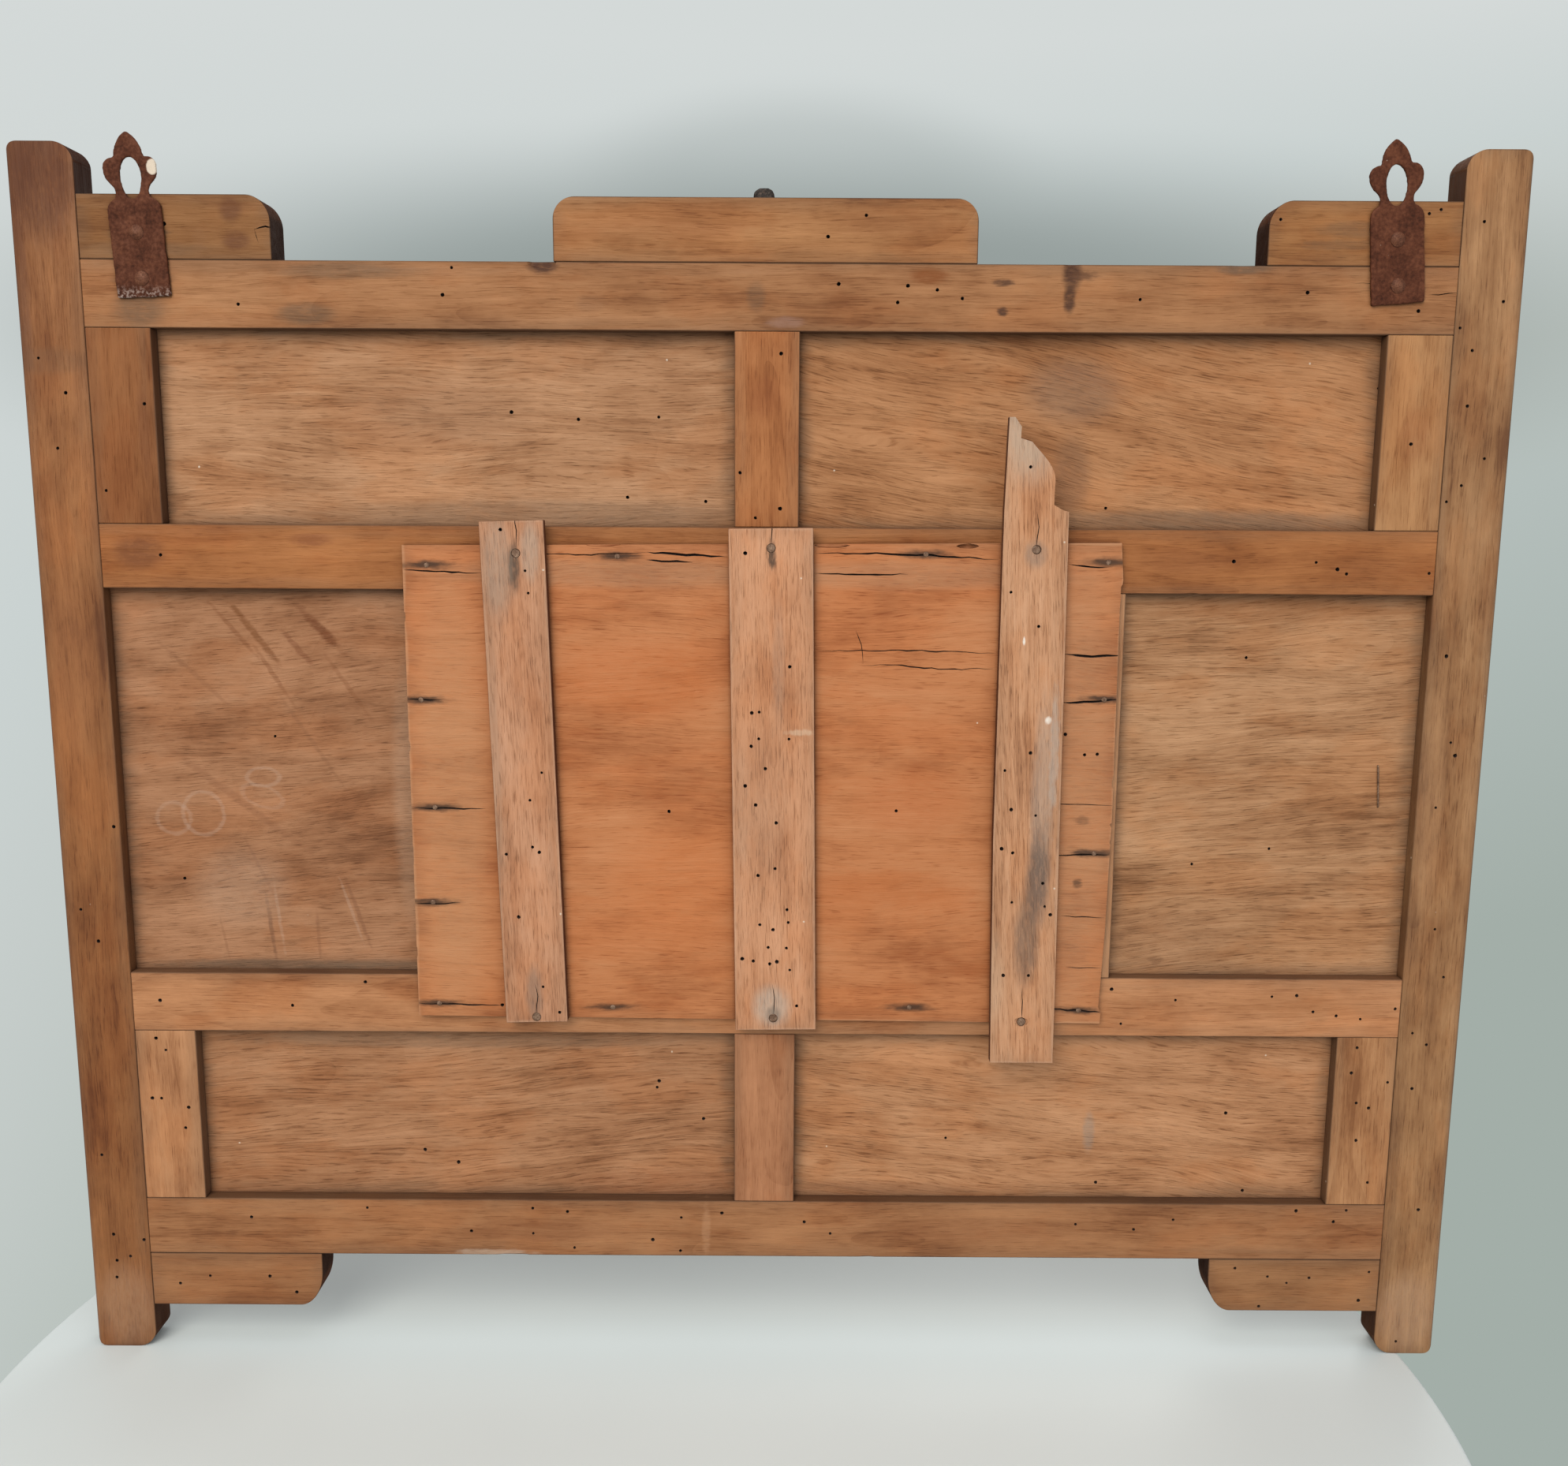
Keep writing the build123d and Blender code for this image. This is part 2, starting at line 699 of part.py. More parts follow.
save(right_batten.part, "right_batten")
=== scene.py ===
import math
import random
import bpy
import bmesh
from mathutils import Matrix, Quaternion, Vector, noise
from mathutils.bvhtree import BVHTree


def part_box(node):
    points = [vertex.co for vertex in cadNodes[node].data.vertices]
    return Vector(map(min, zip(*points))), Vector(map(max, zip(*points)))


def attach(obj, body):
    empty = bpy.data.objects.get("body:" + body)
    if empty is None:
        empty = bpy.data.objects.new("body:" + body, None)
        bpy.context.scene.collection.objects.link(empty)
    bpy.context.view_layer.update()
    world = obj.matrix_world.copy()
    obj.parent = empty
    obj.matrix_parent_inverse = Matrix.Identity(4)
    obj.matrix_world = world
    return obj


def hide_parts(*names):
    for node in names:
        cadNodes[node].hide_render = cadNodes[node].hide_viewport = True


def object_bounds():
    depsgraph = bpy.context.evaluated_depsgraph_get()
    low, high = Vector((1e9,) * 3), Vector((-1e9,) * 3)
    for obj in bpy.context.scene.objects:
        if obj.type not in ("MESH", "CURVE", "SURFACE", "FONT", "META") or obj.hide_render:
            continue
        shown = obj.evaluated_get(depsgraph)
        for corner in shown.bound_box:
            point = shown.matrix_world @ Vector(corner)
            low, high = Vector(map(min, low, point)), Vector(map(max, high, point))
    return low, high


# The back of an old hall board: a waxed wooden frame with thin panels, a nailed board and battens over
# the mirror, rusty hanging eyes, and coat hooks on the far side.
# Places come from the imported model. Sizes are in millimetres unless a note says metres.

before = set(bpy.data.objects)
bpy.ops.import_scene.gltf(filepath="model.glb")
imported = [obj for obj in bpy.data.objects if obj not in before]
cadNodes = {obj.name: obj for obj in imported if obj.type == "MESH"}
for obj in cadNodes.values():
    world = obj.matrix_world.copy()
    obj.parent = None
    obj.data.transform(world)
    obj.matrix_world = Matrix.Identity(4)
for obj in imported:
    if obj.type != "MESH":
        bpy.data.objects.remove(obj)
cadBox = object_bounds()
mm = 0.001
print("frame loaded:", len(cadNodes), "pieces")


def toLinear(hexColour):
    # an sRGB hex value to the linear colour that the shaders use
    channels = [int(hexColour[i:i + 2], 16) / 255 for i in (0, 2, 4)]
    return tuple(c / 12.92 if c <= 0.04045 else ((c + 0.055) / 1.055) ** 2.4 for c in channels) + (1.0,)


def tinted(colour, factors):
    # a linear colour made darker, lighter or warmer, channel by channel
    return tuple(min(1.0, c * f) for c, f in zip(colour, factors)) + (1.0,)


def addNode(tree, kind, settings=None, inputs=None):
    # one node, its settings, and its inputs either set or joined to another node's output
    made = tree.nodes.new(kind)
    for name, value in (settings or {}).items():
        setattr(made, name, value)
    for socket, value in (inputs or {}).items():
        if isinstance(value, bpy.types.NodeSocket):
            tree.links.new(value, made.inputs[socket])
        else:
            made.inputs[socket].default_value = value
    return made


def newMaterial(name):
    material = bpy.data.materials.new(name)
    material.use_nodes = True
    material.node_tree.nodes.clear()
    return material, material.node_tree


def calc(tree, operation, *values):
    # the result of one sum on numbers or sockets
    return addNode(tree, "ShaderNodeMath", {"operation": operation}, dict(enumerate(values))).outputs[0]


def ramped(tree, value, stops):
    # a colour ramp over a number, its stops given as (place, colour)
    made = addNode(tree, "ShaderNodeValToRGB", inputs={0: value})
    elements = made.color_ramp.elements
    elements[0].position, elements[0].color = stops[0]
    elements[1].position, elements[1].color = stops[-1]
    for place, colour in stops[1:-1]:
        elements.new(place).color = colour
    return made.outputs[0]


def blended(tree, share, under, over, kind="MIX"):
    # one colour laid over another by a share
    made = addNode(tree, "ShaderNodeMix", {"data_type": "RGBA", "blend_type": kind},
                   {0: share, 6: under, 7: over})
    return made.outputs[2]


def within(tree, value, low, high, outLow=0.0, outHigh=1.0):
    # a number taken from one range to another, and held there
    made = addNode(tree, "ShaderNodeMapRange", {"interpolation_type": "SMOOTHSTEP"},
                   {0: value, 1: low, 2: high, 3: outLow, 4: outHigh})
    return made.outputs[0]


def cloudy(tree, place, stretch, detail=2.0, roughness=0.5, offset=(0, 0, 0)):
    # soft noise whose lumps are as long as stretch says, in millimetres along each axis
    scaled = addNode(tree, "ShaderNodeVectorMath", {"operation": "MULTIPLY_ADD"},
                     {0: place, 1: tuple(1 / s for s in stretch), 2: offset}).outputs[0]
    made = addNode(tree, "ShaderNodeTexNoise", None,
                   {"Vector": scaled, "Scale": 1.0, "Detail": detail, "Roughness": roughness})
    return made


# How each kind of wood was made and has worn. Ring width, wander and curl shape the figure; the shares say
# how strongly rings, fibres, streaks, clouds and open pores show, and how rubbed or dirty the piece is.
# Seam is the dark line at a member's edge; the corner share is dirt and painted shade, the side share stain
# and painted shade.
woodKinds = {
    # fruitwood, planed, stained red-brown and handled for years: satin and dark, cloudy from hands
    "waxedPost": {
        "ringWidth": 9.0, "pith": 34.0, "drift": 0.05, "wander": 9.0, "curl": 1.5,
        "rings": 0.20, "fibres": 0.26, "streaks": 0.42, "clouds": 1.00, "pores": 0.30,
        "dark": (0.50, 0.40, 0.34), "pale": (1.42, 1.50, 1.62), "rough": (0.48, 0.66),
        "seam": 0.35, "cornerDirtAndShade": 0.6, "grime": 0.30, "relief": 0.35},
    # the same wood, planed and left bare on the back: dry and matt, with soft arches of growth rings
    "planedFrame": {
        "ringWidth": 6.5, "pith": 26.0, "drift": 0.035, "wander": 9.0, "curl": 2.5,
        "rings": 0.30, "fibres": 0.26, "streaks": 0.28, "clouds": 0.95, "pores": 0.30,
        "dark": (0.54, 0.44, 0.37), "pale": (1.28, 1.34, 1.40), "rough": (0.58, 0.78),
        "seam": 0.7, "cornerDirtAndShade": 0.6, "grime": 0.30, "relief": 0.30, "sideStainAndShade": 0.15},
    # thin rotary-peeled sheet, sanded once: short dark dashes of open grain in pale, fuzzy wood
    "peeledPanel": {
        "ringWidth": 15.0, "pith": 60.0, "drift": 0.10, "wander": 22.0, "curl": 7.0,
        "rings": 0.16, "fibres": 0.50, "streaks": 0.40, "clouds": 0.80, "pores": 0.36,
        "dark": (0.50, 0.42, 0.36), "pale": (1.30, 1.38, 1.48), "rough": (0.68, 0.86),
        "grime": 0.50, "relief": 0.55, "cornerDirtAndShade": 0.5},
    # thin softwood board, turned orange with age: smooth, with faint wavy grain and splits
    "nailedBoard": {
        "ringWidth": 12.0, "pith": 70.0, "drift": 0.06, "wander": 18.0, "curl": 6.0,
        "rings": 0.15, "fibres": 0.24, "streaks": 0.20, "clouds": 0.78, "pores": 0.34,
        "dark": (0.60, 0.46, 0.36), "pale": (1.16, 1.30, 1.48), "rough": (0.56, 0.74),
        "wear": 0.35, "grime": 0.25, "relief": 0.28},
    # sawn lath that was never planed: grey-tan and hairy along the grain, pinker where it was rubbed
    "sawnBatten": {
        "ringWidth": 5.0, "pith": 24.0, "drift": 0.03, "wander": 6.0, "curl": 1.5,
        "rings": 0.20, "fibres": 0.38, "streaks": 0.26, "clouds": 0.75, "pores": 0.34,
        "dark": (0.55, 0.48, 0.44), "pale": (1.20, 1.28, 1.38), "rough": (0.74, 0.92),
        "wear": 0.40, "grime": 0.25, "relief": 0.60},
}
wearTones = {"nailedBoard": "cfa078", "sawnBatten": "c7a084"}
# crevice: how near another surface must be for dirt and painted shade to darken a point
crevice = 3.2  # how near another surface must be to hold dirt


def spotted(tree, place, depth, x, z, long, tall, loose, push=1.5, turn=0.0):
    # how far a point is from a spot's centre, where 1 is the spot's rim: ragged, as the place is shaken first
    near = addNode(tree, "ShaderNodeMapping", {"vector_type": "TEXTURE"},
                   {"Vector": place, "Location": (x * mm, depth, z * mm),
                    "Rotation": (0, -math.radians(turn), 0),
                    "Scale": (long * mm, 1.0, tall * mm)}).outputs[0]
    shaken = addNode(tree, "ShaderNodeVectorMath", {"operation": "MULTIPLY_ADD"},
                     {0: loose, 1: (push, push, push), 2: near}).outputs[0]
    return addNode(tree, "ShaderNodeVectorMath", {"operation": "LENGTH"}, {0: shaken}).outputs["Value"]


def oldWood(name, kind, tone, box, lean=0.0, upright=False, turn=0.0, figureTurn=None, seed=0, stains=(),
            nails=(), chalk=(), grimeFrom=0.0, changes=None):
    # wood with its grain along a piece, dirt where dust settles, pale worn arrises, stains, paint specks and
    # painted shade
    look = {**woodKinds[kind], **(changes or {})}
    low, high = box
    centre, half = (low + high) / 2, (high - low) / 2 / mm
    dice = random.Random(seed)
    material, tree = newMaterial(name)
    spot = addNode(tree, "ShaderNodeTexCoord").outputs
    place, facing = spot["Object"], spot["Normal"]
    endwise = 90 if upright else 0

    def turned(degrees):
        # the place in millimetres from the piece's centre, with x along a line at this slope
        return addNode(tree, "ShaderNodeMapping", {"vector_type": "TEXTURE"},
                       {"Vector": place, "Location": centre, "Rotation": (0, -math.radians(degrees), 0),
                        "Scale": (mm, mm, mm)}).outputs[0]

    square = turned(lean)
    along = turned(endwise + lean + turn)
    figure = along if figureTurn is None else turned(figureTurn)
    shift = tuple(dice.uniform(-40, 40) for _ in range(3))

    # the figure: rings round a pith that lies behind the face and drifts along the piece
    swings = addNode(tree, "ShaderNodeSeparateColor", None,
                     {0: cloudy(tree, figure, (170, 38, 38), 1.0, 0.4, shift).outputs[1]})
    lengthwise, depth, across = addNode(tree, "ShaderNodeSeparateXYZ", None, {0: figure}).outputs
    curled = calc(tree, "MULTIPLY_ADD", swings.outputs[2], look["curl"] * 4, across)
    side = calc(tree, "MULTIPLY_ADD", swings.outputs[0], look["wander"] * 3,
                calc(tree, "ADD", curled, dice.uniform(-0.4, 0.4) * look["pith"] - look["wander"] * 1.5))
    behind = calc(tree, "MULTIPLY_ADD", lengthwise, look["drift"] * dice.choice((-1, 1)),
                  calc(tree, "MULTIPLY_ADD", swings.outputs[1], look["wander"] * 3,
                       calc(tree, "ADD", depth, look["pith"] - look["wander"] * 1.5)))
    span = addNode(tree, "ShaderNodeVectorMath", {"operation": "LENGTH"},
                   {0: addNode(tree, "ShaderNodeCombineXYZ", None, {0: side, 1: behind}).outputs[0]})
    ringCount = calc(tree, "DIVIDE", span.outputs["Value"], look["ringWidth"])
    ring = calc(tree, "POWER", calc(tree, "FRACT", ringCount), 2.2)

    # fibres, streaks, open pores and clouds, all drawn out along the grain, which waves a little
    wave = cloudy(tree, along, (120, 24, 24), 1.0, 0.4, shift[::-1]).outputs[0]
    run, deep, over = addNode(tree, "ShaderNodeSeparateXYZ", None, {0: along}).outputs
    waved = calc(tree, "MULTIPLY_ADD", wave, 4 + look["curl"] * 2, over)
    grain = addNode(tree, "ShaderNodeCombineXYZ", None, {0: run, 1: deep, 2: waved}).outputs[0]
    fibres = cloudy(tree, grain, (30, 0.9, 0.9), 4.0, 0.62, shift).outputs[0]
    streaks = cloudy(tree, grain, (95, 5.0, 5.0), 4.0, 0.55, shift[::-1]).outputs[0]
    # these pores are half a millimetre wide, coarser than real ones, so that they show
    poreNoise = cloudy(tree, grain, (11.0, 0.55, 0.55), 2.0, 0.5, shift).outputs[0]
    pores = within(tree, poreNoise, 0.55, 0.72)
    clouds = addNode(tree, "ShaderNodeSeparateColor", None,
                     {0: cloudy(tree, along, (68, 30, 30), 5.0, 0.6, shift[::-1]).outputs[1]})
    # the constant part keeps the mean near a half, whatever the shares
    shade = (0.5 + look["rings"] * 0.15 - look["fibres"] - look["streaks"] - look["clouds"]
             + look["pores"] * 0.12)
    for amount, value in ((-look["rings"] * 0.5, ring), (look["fibres"] * 2, fibres),
                          (look["streaks"] * 2, streaks), (look["clouds"] * 2, clouds.outputs[0]),
                          (-look["pores"], pores)):
        shade = calc(tree, "MULTIPLY_ADD", value, amount, shade)
    base = toLinear(tone)
    stops = ((0.02, look["dark"]), (0.34, (0.86, 0.81, 0.77)), (0.55, (1.04, 1.04, 1.04)),
             (0.95, look["pale"]))
    colour = ramped(tree, shade, [(at, tinted(base, factors)) for at, factors in stops])
    # warmer, redder patches
    warm = within(tree, clouds.outputs[1], 0.46, 0.62, 0.0, 0.55)
    colour = blended(tree, warm, colour, tinted((1, 1, 1), (1.0, 0.86, 0.72)), "MULTIPLY")

    # what closes in on a point: open on the outer arrises, tight in joints and corners
    hollow = addNode(tree, "ShaderNodeAmbientOcclusion", {"samples": 6},
                     {"Distance": crevice * mm}).outputs["AO"]

    # how far a point is from the piece's edges, for rubbed arrises and for settled dirt
    inner = addNode(tree, "ShaderNodeVectorMath", {"operation": "ABSOLUTE"}, {0: square}).outputs[0]
    gaps = addNode(tree, "ShaderNodeSeparateXYZ", None,
                   {0: addNode(tree, "ShaderNodeVectorMath", {"operation": "SUBTRACT"},
                               {0: half, 1: inner}).outputs[0]}).outputs
    least = calc(tree, "MINIMUM", gaps[0], gaps[2])
    middle = calc(tree, "MAXIMUM", least,
                  calc(tree, "MINIMUM", calc(tree, "MAXIMUM", gaps[0], gaps[2]), gaps[1]))
    if look.get("seam"):
        # a thin dark line of dirt where a member meets its neighbours
        fromEdge = calc(tree, "MULTIPLY_ADD", clouds.outputs[2], 0.9, least)
        joint = within(tree, fromEdge, 0.55, 1.35, look["seam"], 0.0)
        colour = blended(tree, joint, colour, toLinear("3d291b"))
    if look.get("wear"):
        ragged = calc(tree, "MULTIPLY_ADD", clouds.outputs[2], 5.0, -1.9)
        rubbed = calc(tree, "MULTIPLY", within(tree, hollow, 0.80, 0.97),
                      within(tree, calc(tree, "SUBTRACT", middle, ragged), -0.4, 1.1, look["wear"], 0.0))
        colour = blended(tree, rubbed, colour, toLinear(wearTones[kind]))
    dusty = calc(tree, "MULTIPLY", within(tree, calc(tree, "MULTIPLY_ADD", clouds.outputs[2], -16.0, least),
                                          grimeFrom - 8.0, grimeFrom + 2.0, look["grime"], 0.0),
                 within(tree, streaks, 0.34, 0.60, 0.35, 1.0))
    colour = blended(tree, dusty, colour, toLinear("604a38"))

    # stains, frayed along the grain and only on the back: centre, half sizes, strength, dye, maybe a slope
    frayed = addNode(tree, "ShaderNodeVectorMath", {"operation": "SUBTRACT"},
                     {0: cloudy(tree, grain, (9, 3.0, 3.0), 3.0, 0.65, shift).outputs[1],
                      1: (0.5, 0.5, 0.5)}).outputs[0]
    faceY = addNode(tree, "ShaderNodeSeparateXYZ", None, {0: facing}).outputs[1]
    onBack = within(tree, faceY, 0.40, 0.85, 1.0, 0.0)
    patchy = cloudy(tree, grain, (5.0, 1.5, 1.5), 3.0, 0.6, shift[::-1]).outputs[0]
    mottle = calc(tree, "MULTIPLY", within(tree, patchy, 0.34, 0.54, 0.72, 1.0), onBack)
    for x, z, long, tall, strength, dye, *slope in stains:
        shake = 4.5 / max(3.0, min(long, tall)) if min(long, tall) < 3.5 else 2.6 / min(long, tall)
        reach = spotted(tree, place, centre.y, x, z, long, tall, frayed, shake, *slope)
        colour = blended(tree, calc(tree, "MULTIPLY", mottle, within(tree, reach, 0.45, 1.15, strength, 0.0)),
                         colour, toLinear(dye))
    # chalk marks: an ellipse's rim, broken by the grain
    for x, z, long, tall, slope, thick, strength, dye in chalk:
        reach = spotted(tree, place, centre.y, x, z, long, tall, frayed, 3.2 / max(long, tall), slope)
        rim = calc(tree, "ABSOLUTE", calc(tree, "SUBTRACT", reach, 1.0))
        mark = calc(tree, "MULTIPLY", mottle, within(tree, rim, thick * 0.25, thick, strength, 0.0))
        colour = blended(tree, mark, colour, toLinear(dye))
    # iron stains drawn out along the grain from each nail
    inked = None
    inkLong, inkTall = (3.0, 17) if upright else (17, 3.0)
    for x, z in nails:
        reach = spotted(tree, place, centre.y, x, z, inkLong, inkTall, frayed, 1.2)
        inked = reach if inked is None else calc(tree, "MINIMUM", inked, reach)
    if inked is not None:
        ink = calc(tree, "MULTIPLY", onBack, within(tree, inked, 0.20, 1.2, 0.90, 0.0))
        colour = blended(tree, ink, colour, toLinear("34251b"))

    # flecks of old white paint, about a millimetre across, in one cell of eight
    cells = addNode(tree, "ShaderNodeTexVoronoi", None, {"Vector": square, "Scale": 1 / 17})
    chance = addNode(tree, "ShaderNodeSeparateColor", None, {0: cells.outputs["Color"]}).outputs[0]
    fleck = calc(tree, "MULTIPLY", calc(tree, "GREATER_THAN", chance, 0.87),
                 within(tree, calc(tree, "MULTIPLY_ADD", fibres, 0.05, cells.outputs["Distance"]),
                        0.04, 0.07, 0.8, 0.0))
    colour = blended(tree, fleck, colour, toLinear("d9cbb8"))

    # the edges are darker, partly from stain and partly as painted shade; the front was stained and varnished,
    # darker than the bare back
    edges = within(tree, calc(tree, "ABSOLUTE", faceY), 0.25, 0.90, look.get("sideStainAndShade", 0.9), 0.0)
    if "coveredSidesBetween" in look:
        # the inner edge of a post gets less of this stain and painted shade where rails and panels cover it
        x, _, z = addNode(tree, "ShaderNodeSeparateXYZ", None, {0: place}).outputs
        bottom, top = (height * mm for height in look["coveredSidesBetween"])
        inside = calc(tree, "LESS_THAN", calc(tree, "ABSOLUTE", x), abs(centre.x))
        level = calc(tree, "MULTIPLY", calc(tree, "GREATER_THAN", z, bottom), calc(tree, "LESS_THAN", z, top))
        covered = calc(tree, "MULTIPLY", level, inside)
        edges = calc(tree, "MULTIPLY", edges, calc(tree, "MULTIPLY_ADD", covered, -0.8, 1.0))
    front = calc(tree, "SUBTRACT", 1.0, onBack)
    colour = blended(tree, edges, colour, tinted((1, 1, 1), (0.22, 0.14, 0.11)), "MULTIPLY")
    colour = blended(tree, front, colour, tinted((1, 1, 1), (0.66, 0.52, 0.42)), "MULTIPLY")

    # dirt and painted shade in the joints, the panels' corners and round the nails, where other surfaces close
    # in
    colour = blended(tree, within(tree, hollow, 0.35, 0.90, look.get("cornerDirtAndShade", 0.85), 0.0), colour,
                     tinted((1, 1, 1), (0.30, 0.23, 0.18)), "MULTIPLY")

    relief = calc(tree, "MULTIPLY_ADD", pores, -0.8,
                  calc(tree, "MULTIPLY_ADD", fibres, 1.0, calc(tree, "MULTIPLY", ring, -0.25)))
    raised = addNode(tree, "ShaderNodeBump", None,
                     {"Strength": look["relief"], "Distance": 0.6 * mm, "Height": relief}).outputs[0]
    planed = addNode(tree, "ShaderNodeBump", None,
                     {"Strength": 0.35, "Distance": 2.2 * mm, "Height": streaks, "Normal": raised}).outputs[0]
    gloss = calc(tree, "MULTIPLY_ADD", front, -0.2, calc(tree, "MULTIPLY_ADD", edges, 0.15,
                 within(tree, shade, 0.1, 0.9, look["rough"][1], look["rough"][0])))
    finish = addNode(tree, "ShaderNodeBsdfPrincipled", None,
                     {"Base Color": colour, "Roughness": gloss, "Normal": planed, "IOR": 1.5,
                      "Specular IOR Level": calc(tree, "MULTIPLY_ADD", edges, -0.2, 0.25)})
    addNode(tree, "ShaderNodeOutputMaterial", None, {0: finish.outputs[0]})
    return material


def wornThroughWood():
    # the rough inside of worm holes and splits, coloured near black as painted shade in them
    material, tree = newMaterial("darkInnerWood")
    place = addNode(tree, "ShaderNodeTexCoord").outputs["Object"]
    # crumbs of wood about a millimetre across
    speckle = addNode(tree, "ShaderNodeTexNoise", None, {"Vector": place, "Scale": 900.0, "Detail": 2.0})
    colour = ramped(tree, speckle.outputs[0],
                    [(0.3, toLinear("1d120b")), (0.6, toLinear("38231a")), (0.8, toLinear("4b3122"))])
    finish = addNode(tree, "ShaderNodeBsdfPrincipled", None,
                     {"Base Color": colour, "Roughness": 0.9, "IOR": 1.5})
    addNode(tree, "ShaderNodeOutputMaterial", None, {0: finish.outputs[0]})
    return material


innerWood = wornThroughWood()

# Colours of the ironwork, and how it looks under its rust
ironKinds = {
    "rustedPlate": {  # wrought plate, cut and filed, then rusted to a thin, even, dull red-brown skin
        "deep": "2c150b", "main": "4c2614", "bright": "683a22", "fleck": "ab9a8a", "grain": 4.4,
        "metal": 0.0, "rough": (0.62, 0.85), "relief": 0.30, "shine": 0.2},
    "plateNail": {  # hand-made nails with low domed heads, a little brighter than the plate they hold
        "deep": "34190e", "main": "5d3520", "bright": "7d5037", "fleck": "b7a596", "grain": 1.4, "metal": 0.1,
        "rough": (0.50, 0.75), "relief": 0.4, "shine": 0.3},
    "boardNail": {  # short cut nails, their heads rubbed down to a pale brown
        "deep": "38261b", "main": "6f5340", "bright": "a08770", "fleck": "b7a596", "grain": 1.1,
        "metal": 0.35, "rough": (0.45, 0.75), "relief": 0.4, "shine": 0.4},
    # forged strap, oil-blackened: dark with a soft sheen, and brown where the rust comes back
    "blackenedStrap": {
        "deep": "15120f", "main": "2a2420", "bright": "4a3a30", "fleck": "6b4a38", "grain": 3.0,
        "metal": 0.65, "rough": (0.38, 0.66), "relief": 0.45, "shine": 0.5},
}


def oldIron(name, kind, paintSpots=(), paleBelow=None):
    look = ironKinds[kind]
    material, tree = newMaterial(name)
    place = addNode(tree, "ShaderNodeTexCoord").outputs["Object"]
    local = addNode(tree, "ShaderNodeVectorMath", {"operation": "SCALE"},
                    {0: place, "Scale": 1 / mm}).outputs[0]
    crust = cloudy(tree, local, (look["grain"] * 2.5,) * 3, 5.0, 0.65).outputs[0]
    pits = cloudy(tree, local, (look["grain"] * 0.4,) * 3, 3.0, 0.6).outputs[0]
    mixedRust = calc(tree, "MULTIPLY_ADD", pits, 0.5, calc(tree, "MULTIPLY", crust, 0.6))
    colour = ramped(tree, mixedRust, [(0.36, toLinear(look["deep"])), (0.53, toLinear(look["main"])),
                                      (0.74, toLinear(look["bright"]))])
    dots = addNode(tree, "ShaderNodeTexVoronoi", None, {"Vector": local, "Scale": 1 / 4.4})
    chance = addNode(tree, "ShaderNodeSeparateColor", None, {0: dots.outputs["Color"]}).outputs[0]
    fleck = calc(tree, "MULTIPLY", calc(tree, "GREATER_THAN", chance, 0.92),
                 within(tree, dots.outputs["Distance"], 0.05, 0.11, 0.55, 0.0))
    colour = blended(tree, fleck, colour, toLinear(look["fleck"]))
    if paleBelow is not None:
        # the foot of a plate, rubbed pale where it was knocked
        height = addNode(tree, "ShaderNodeSeparateXYZ", None, {0: local}).outputs[2]
        band = calc(tree, "MULTIPLY", within(tree, height, paleBelow, paleBelow + 8, 0.7, 0.0),
                    within(tree, pits, 0.46, 0.60))
        colour = blended(tree, band, colour, toLinear("a5948a"))
    for x, z, size in paintSpots:
        near = addNode(tree, "ShaderNodeMapping", {"vector_type": "TEXTURE"},
                       {"Vector": place, "Location": (x, 0, z), "Scale": (size * mm * 0.75, 1.0, size * mm)})
        reach = addNode(tree, "ShaderNodeVectorMath", {"operation": "LENGTH"}, {0: near.outputs[0]})
        rough = calc(tree, "MULTIPLY_ADD", crust, 0.7, reach.outputs["Value"])
        spot = within(tree, rough, 1.15, 1.35, 1.0, 0.0)
        colour = blended(tree, spot, colour, toLinear("cdbfac"))
    # painted shade: black where a head or a fold sits close on the plate
    hollow = addNode(tree, "ShaderNodeAmbientOcclusion", {"samples": 6}, {"Distance": 2.2 * mm}).outputs["AO"]
    colour = blended(tree, within(tree, hollow, 0.35, 0.92, 0.85, 0.0), colour,
                     tinted((1, 1, 1), (0.28, 0.22, 0.20)), "MULTIPLY")
    gloss = within(tree, mixedRust, 0.4, 0.7, look["rough"][1], look["rough"][0])
    hammered = cloudy(tree, local, (5.5, 5.5, 5.5), 1.0, 0.4).outputs[0]
    dented = addNode(tree, "ShaderNodeBump", None,
                     {"Strength": 0.5, "Distance": 1.0 * mm, "Height": hammered}).outputs[0]
    raised = addNode(tree, "ShaderNodeBump", None,
                     {"Strength": look["relief"], "Distance": 0.4 * mm, "Height": mixedRust,
                      "Normal": dented}).outputs[0]
    finish = addNode(tree, "ShaderNodeBsdfPrincipled", None,
                     {"Base Color": colour, "Metallic": look["metal"], "Roughness": gloss, "Normal": raised,
                      "Specular IOR Level": look["shine"]})
    addNode(tree, "ShaderNodeOutputMaterial", None, {0: finish.outputs[0]})
    return material


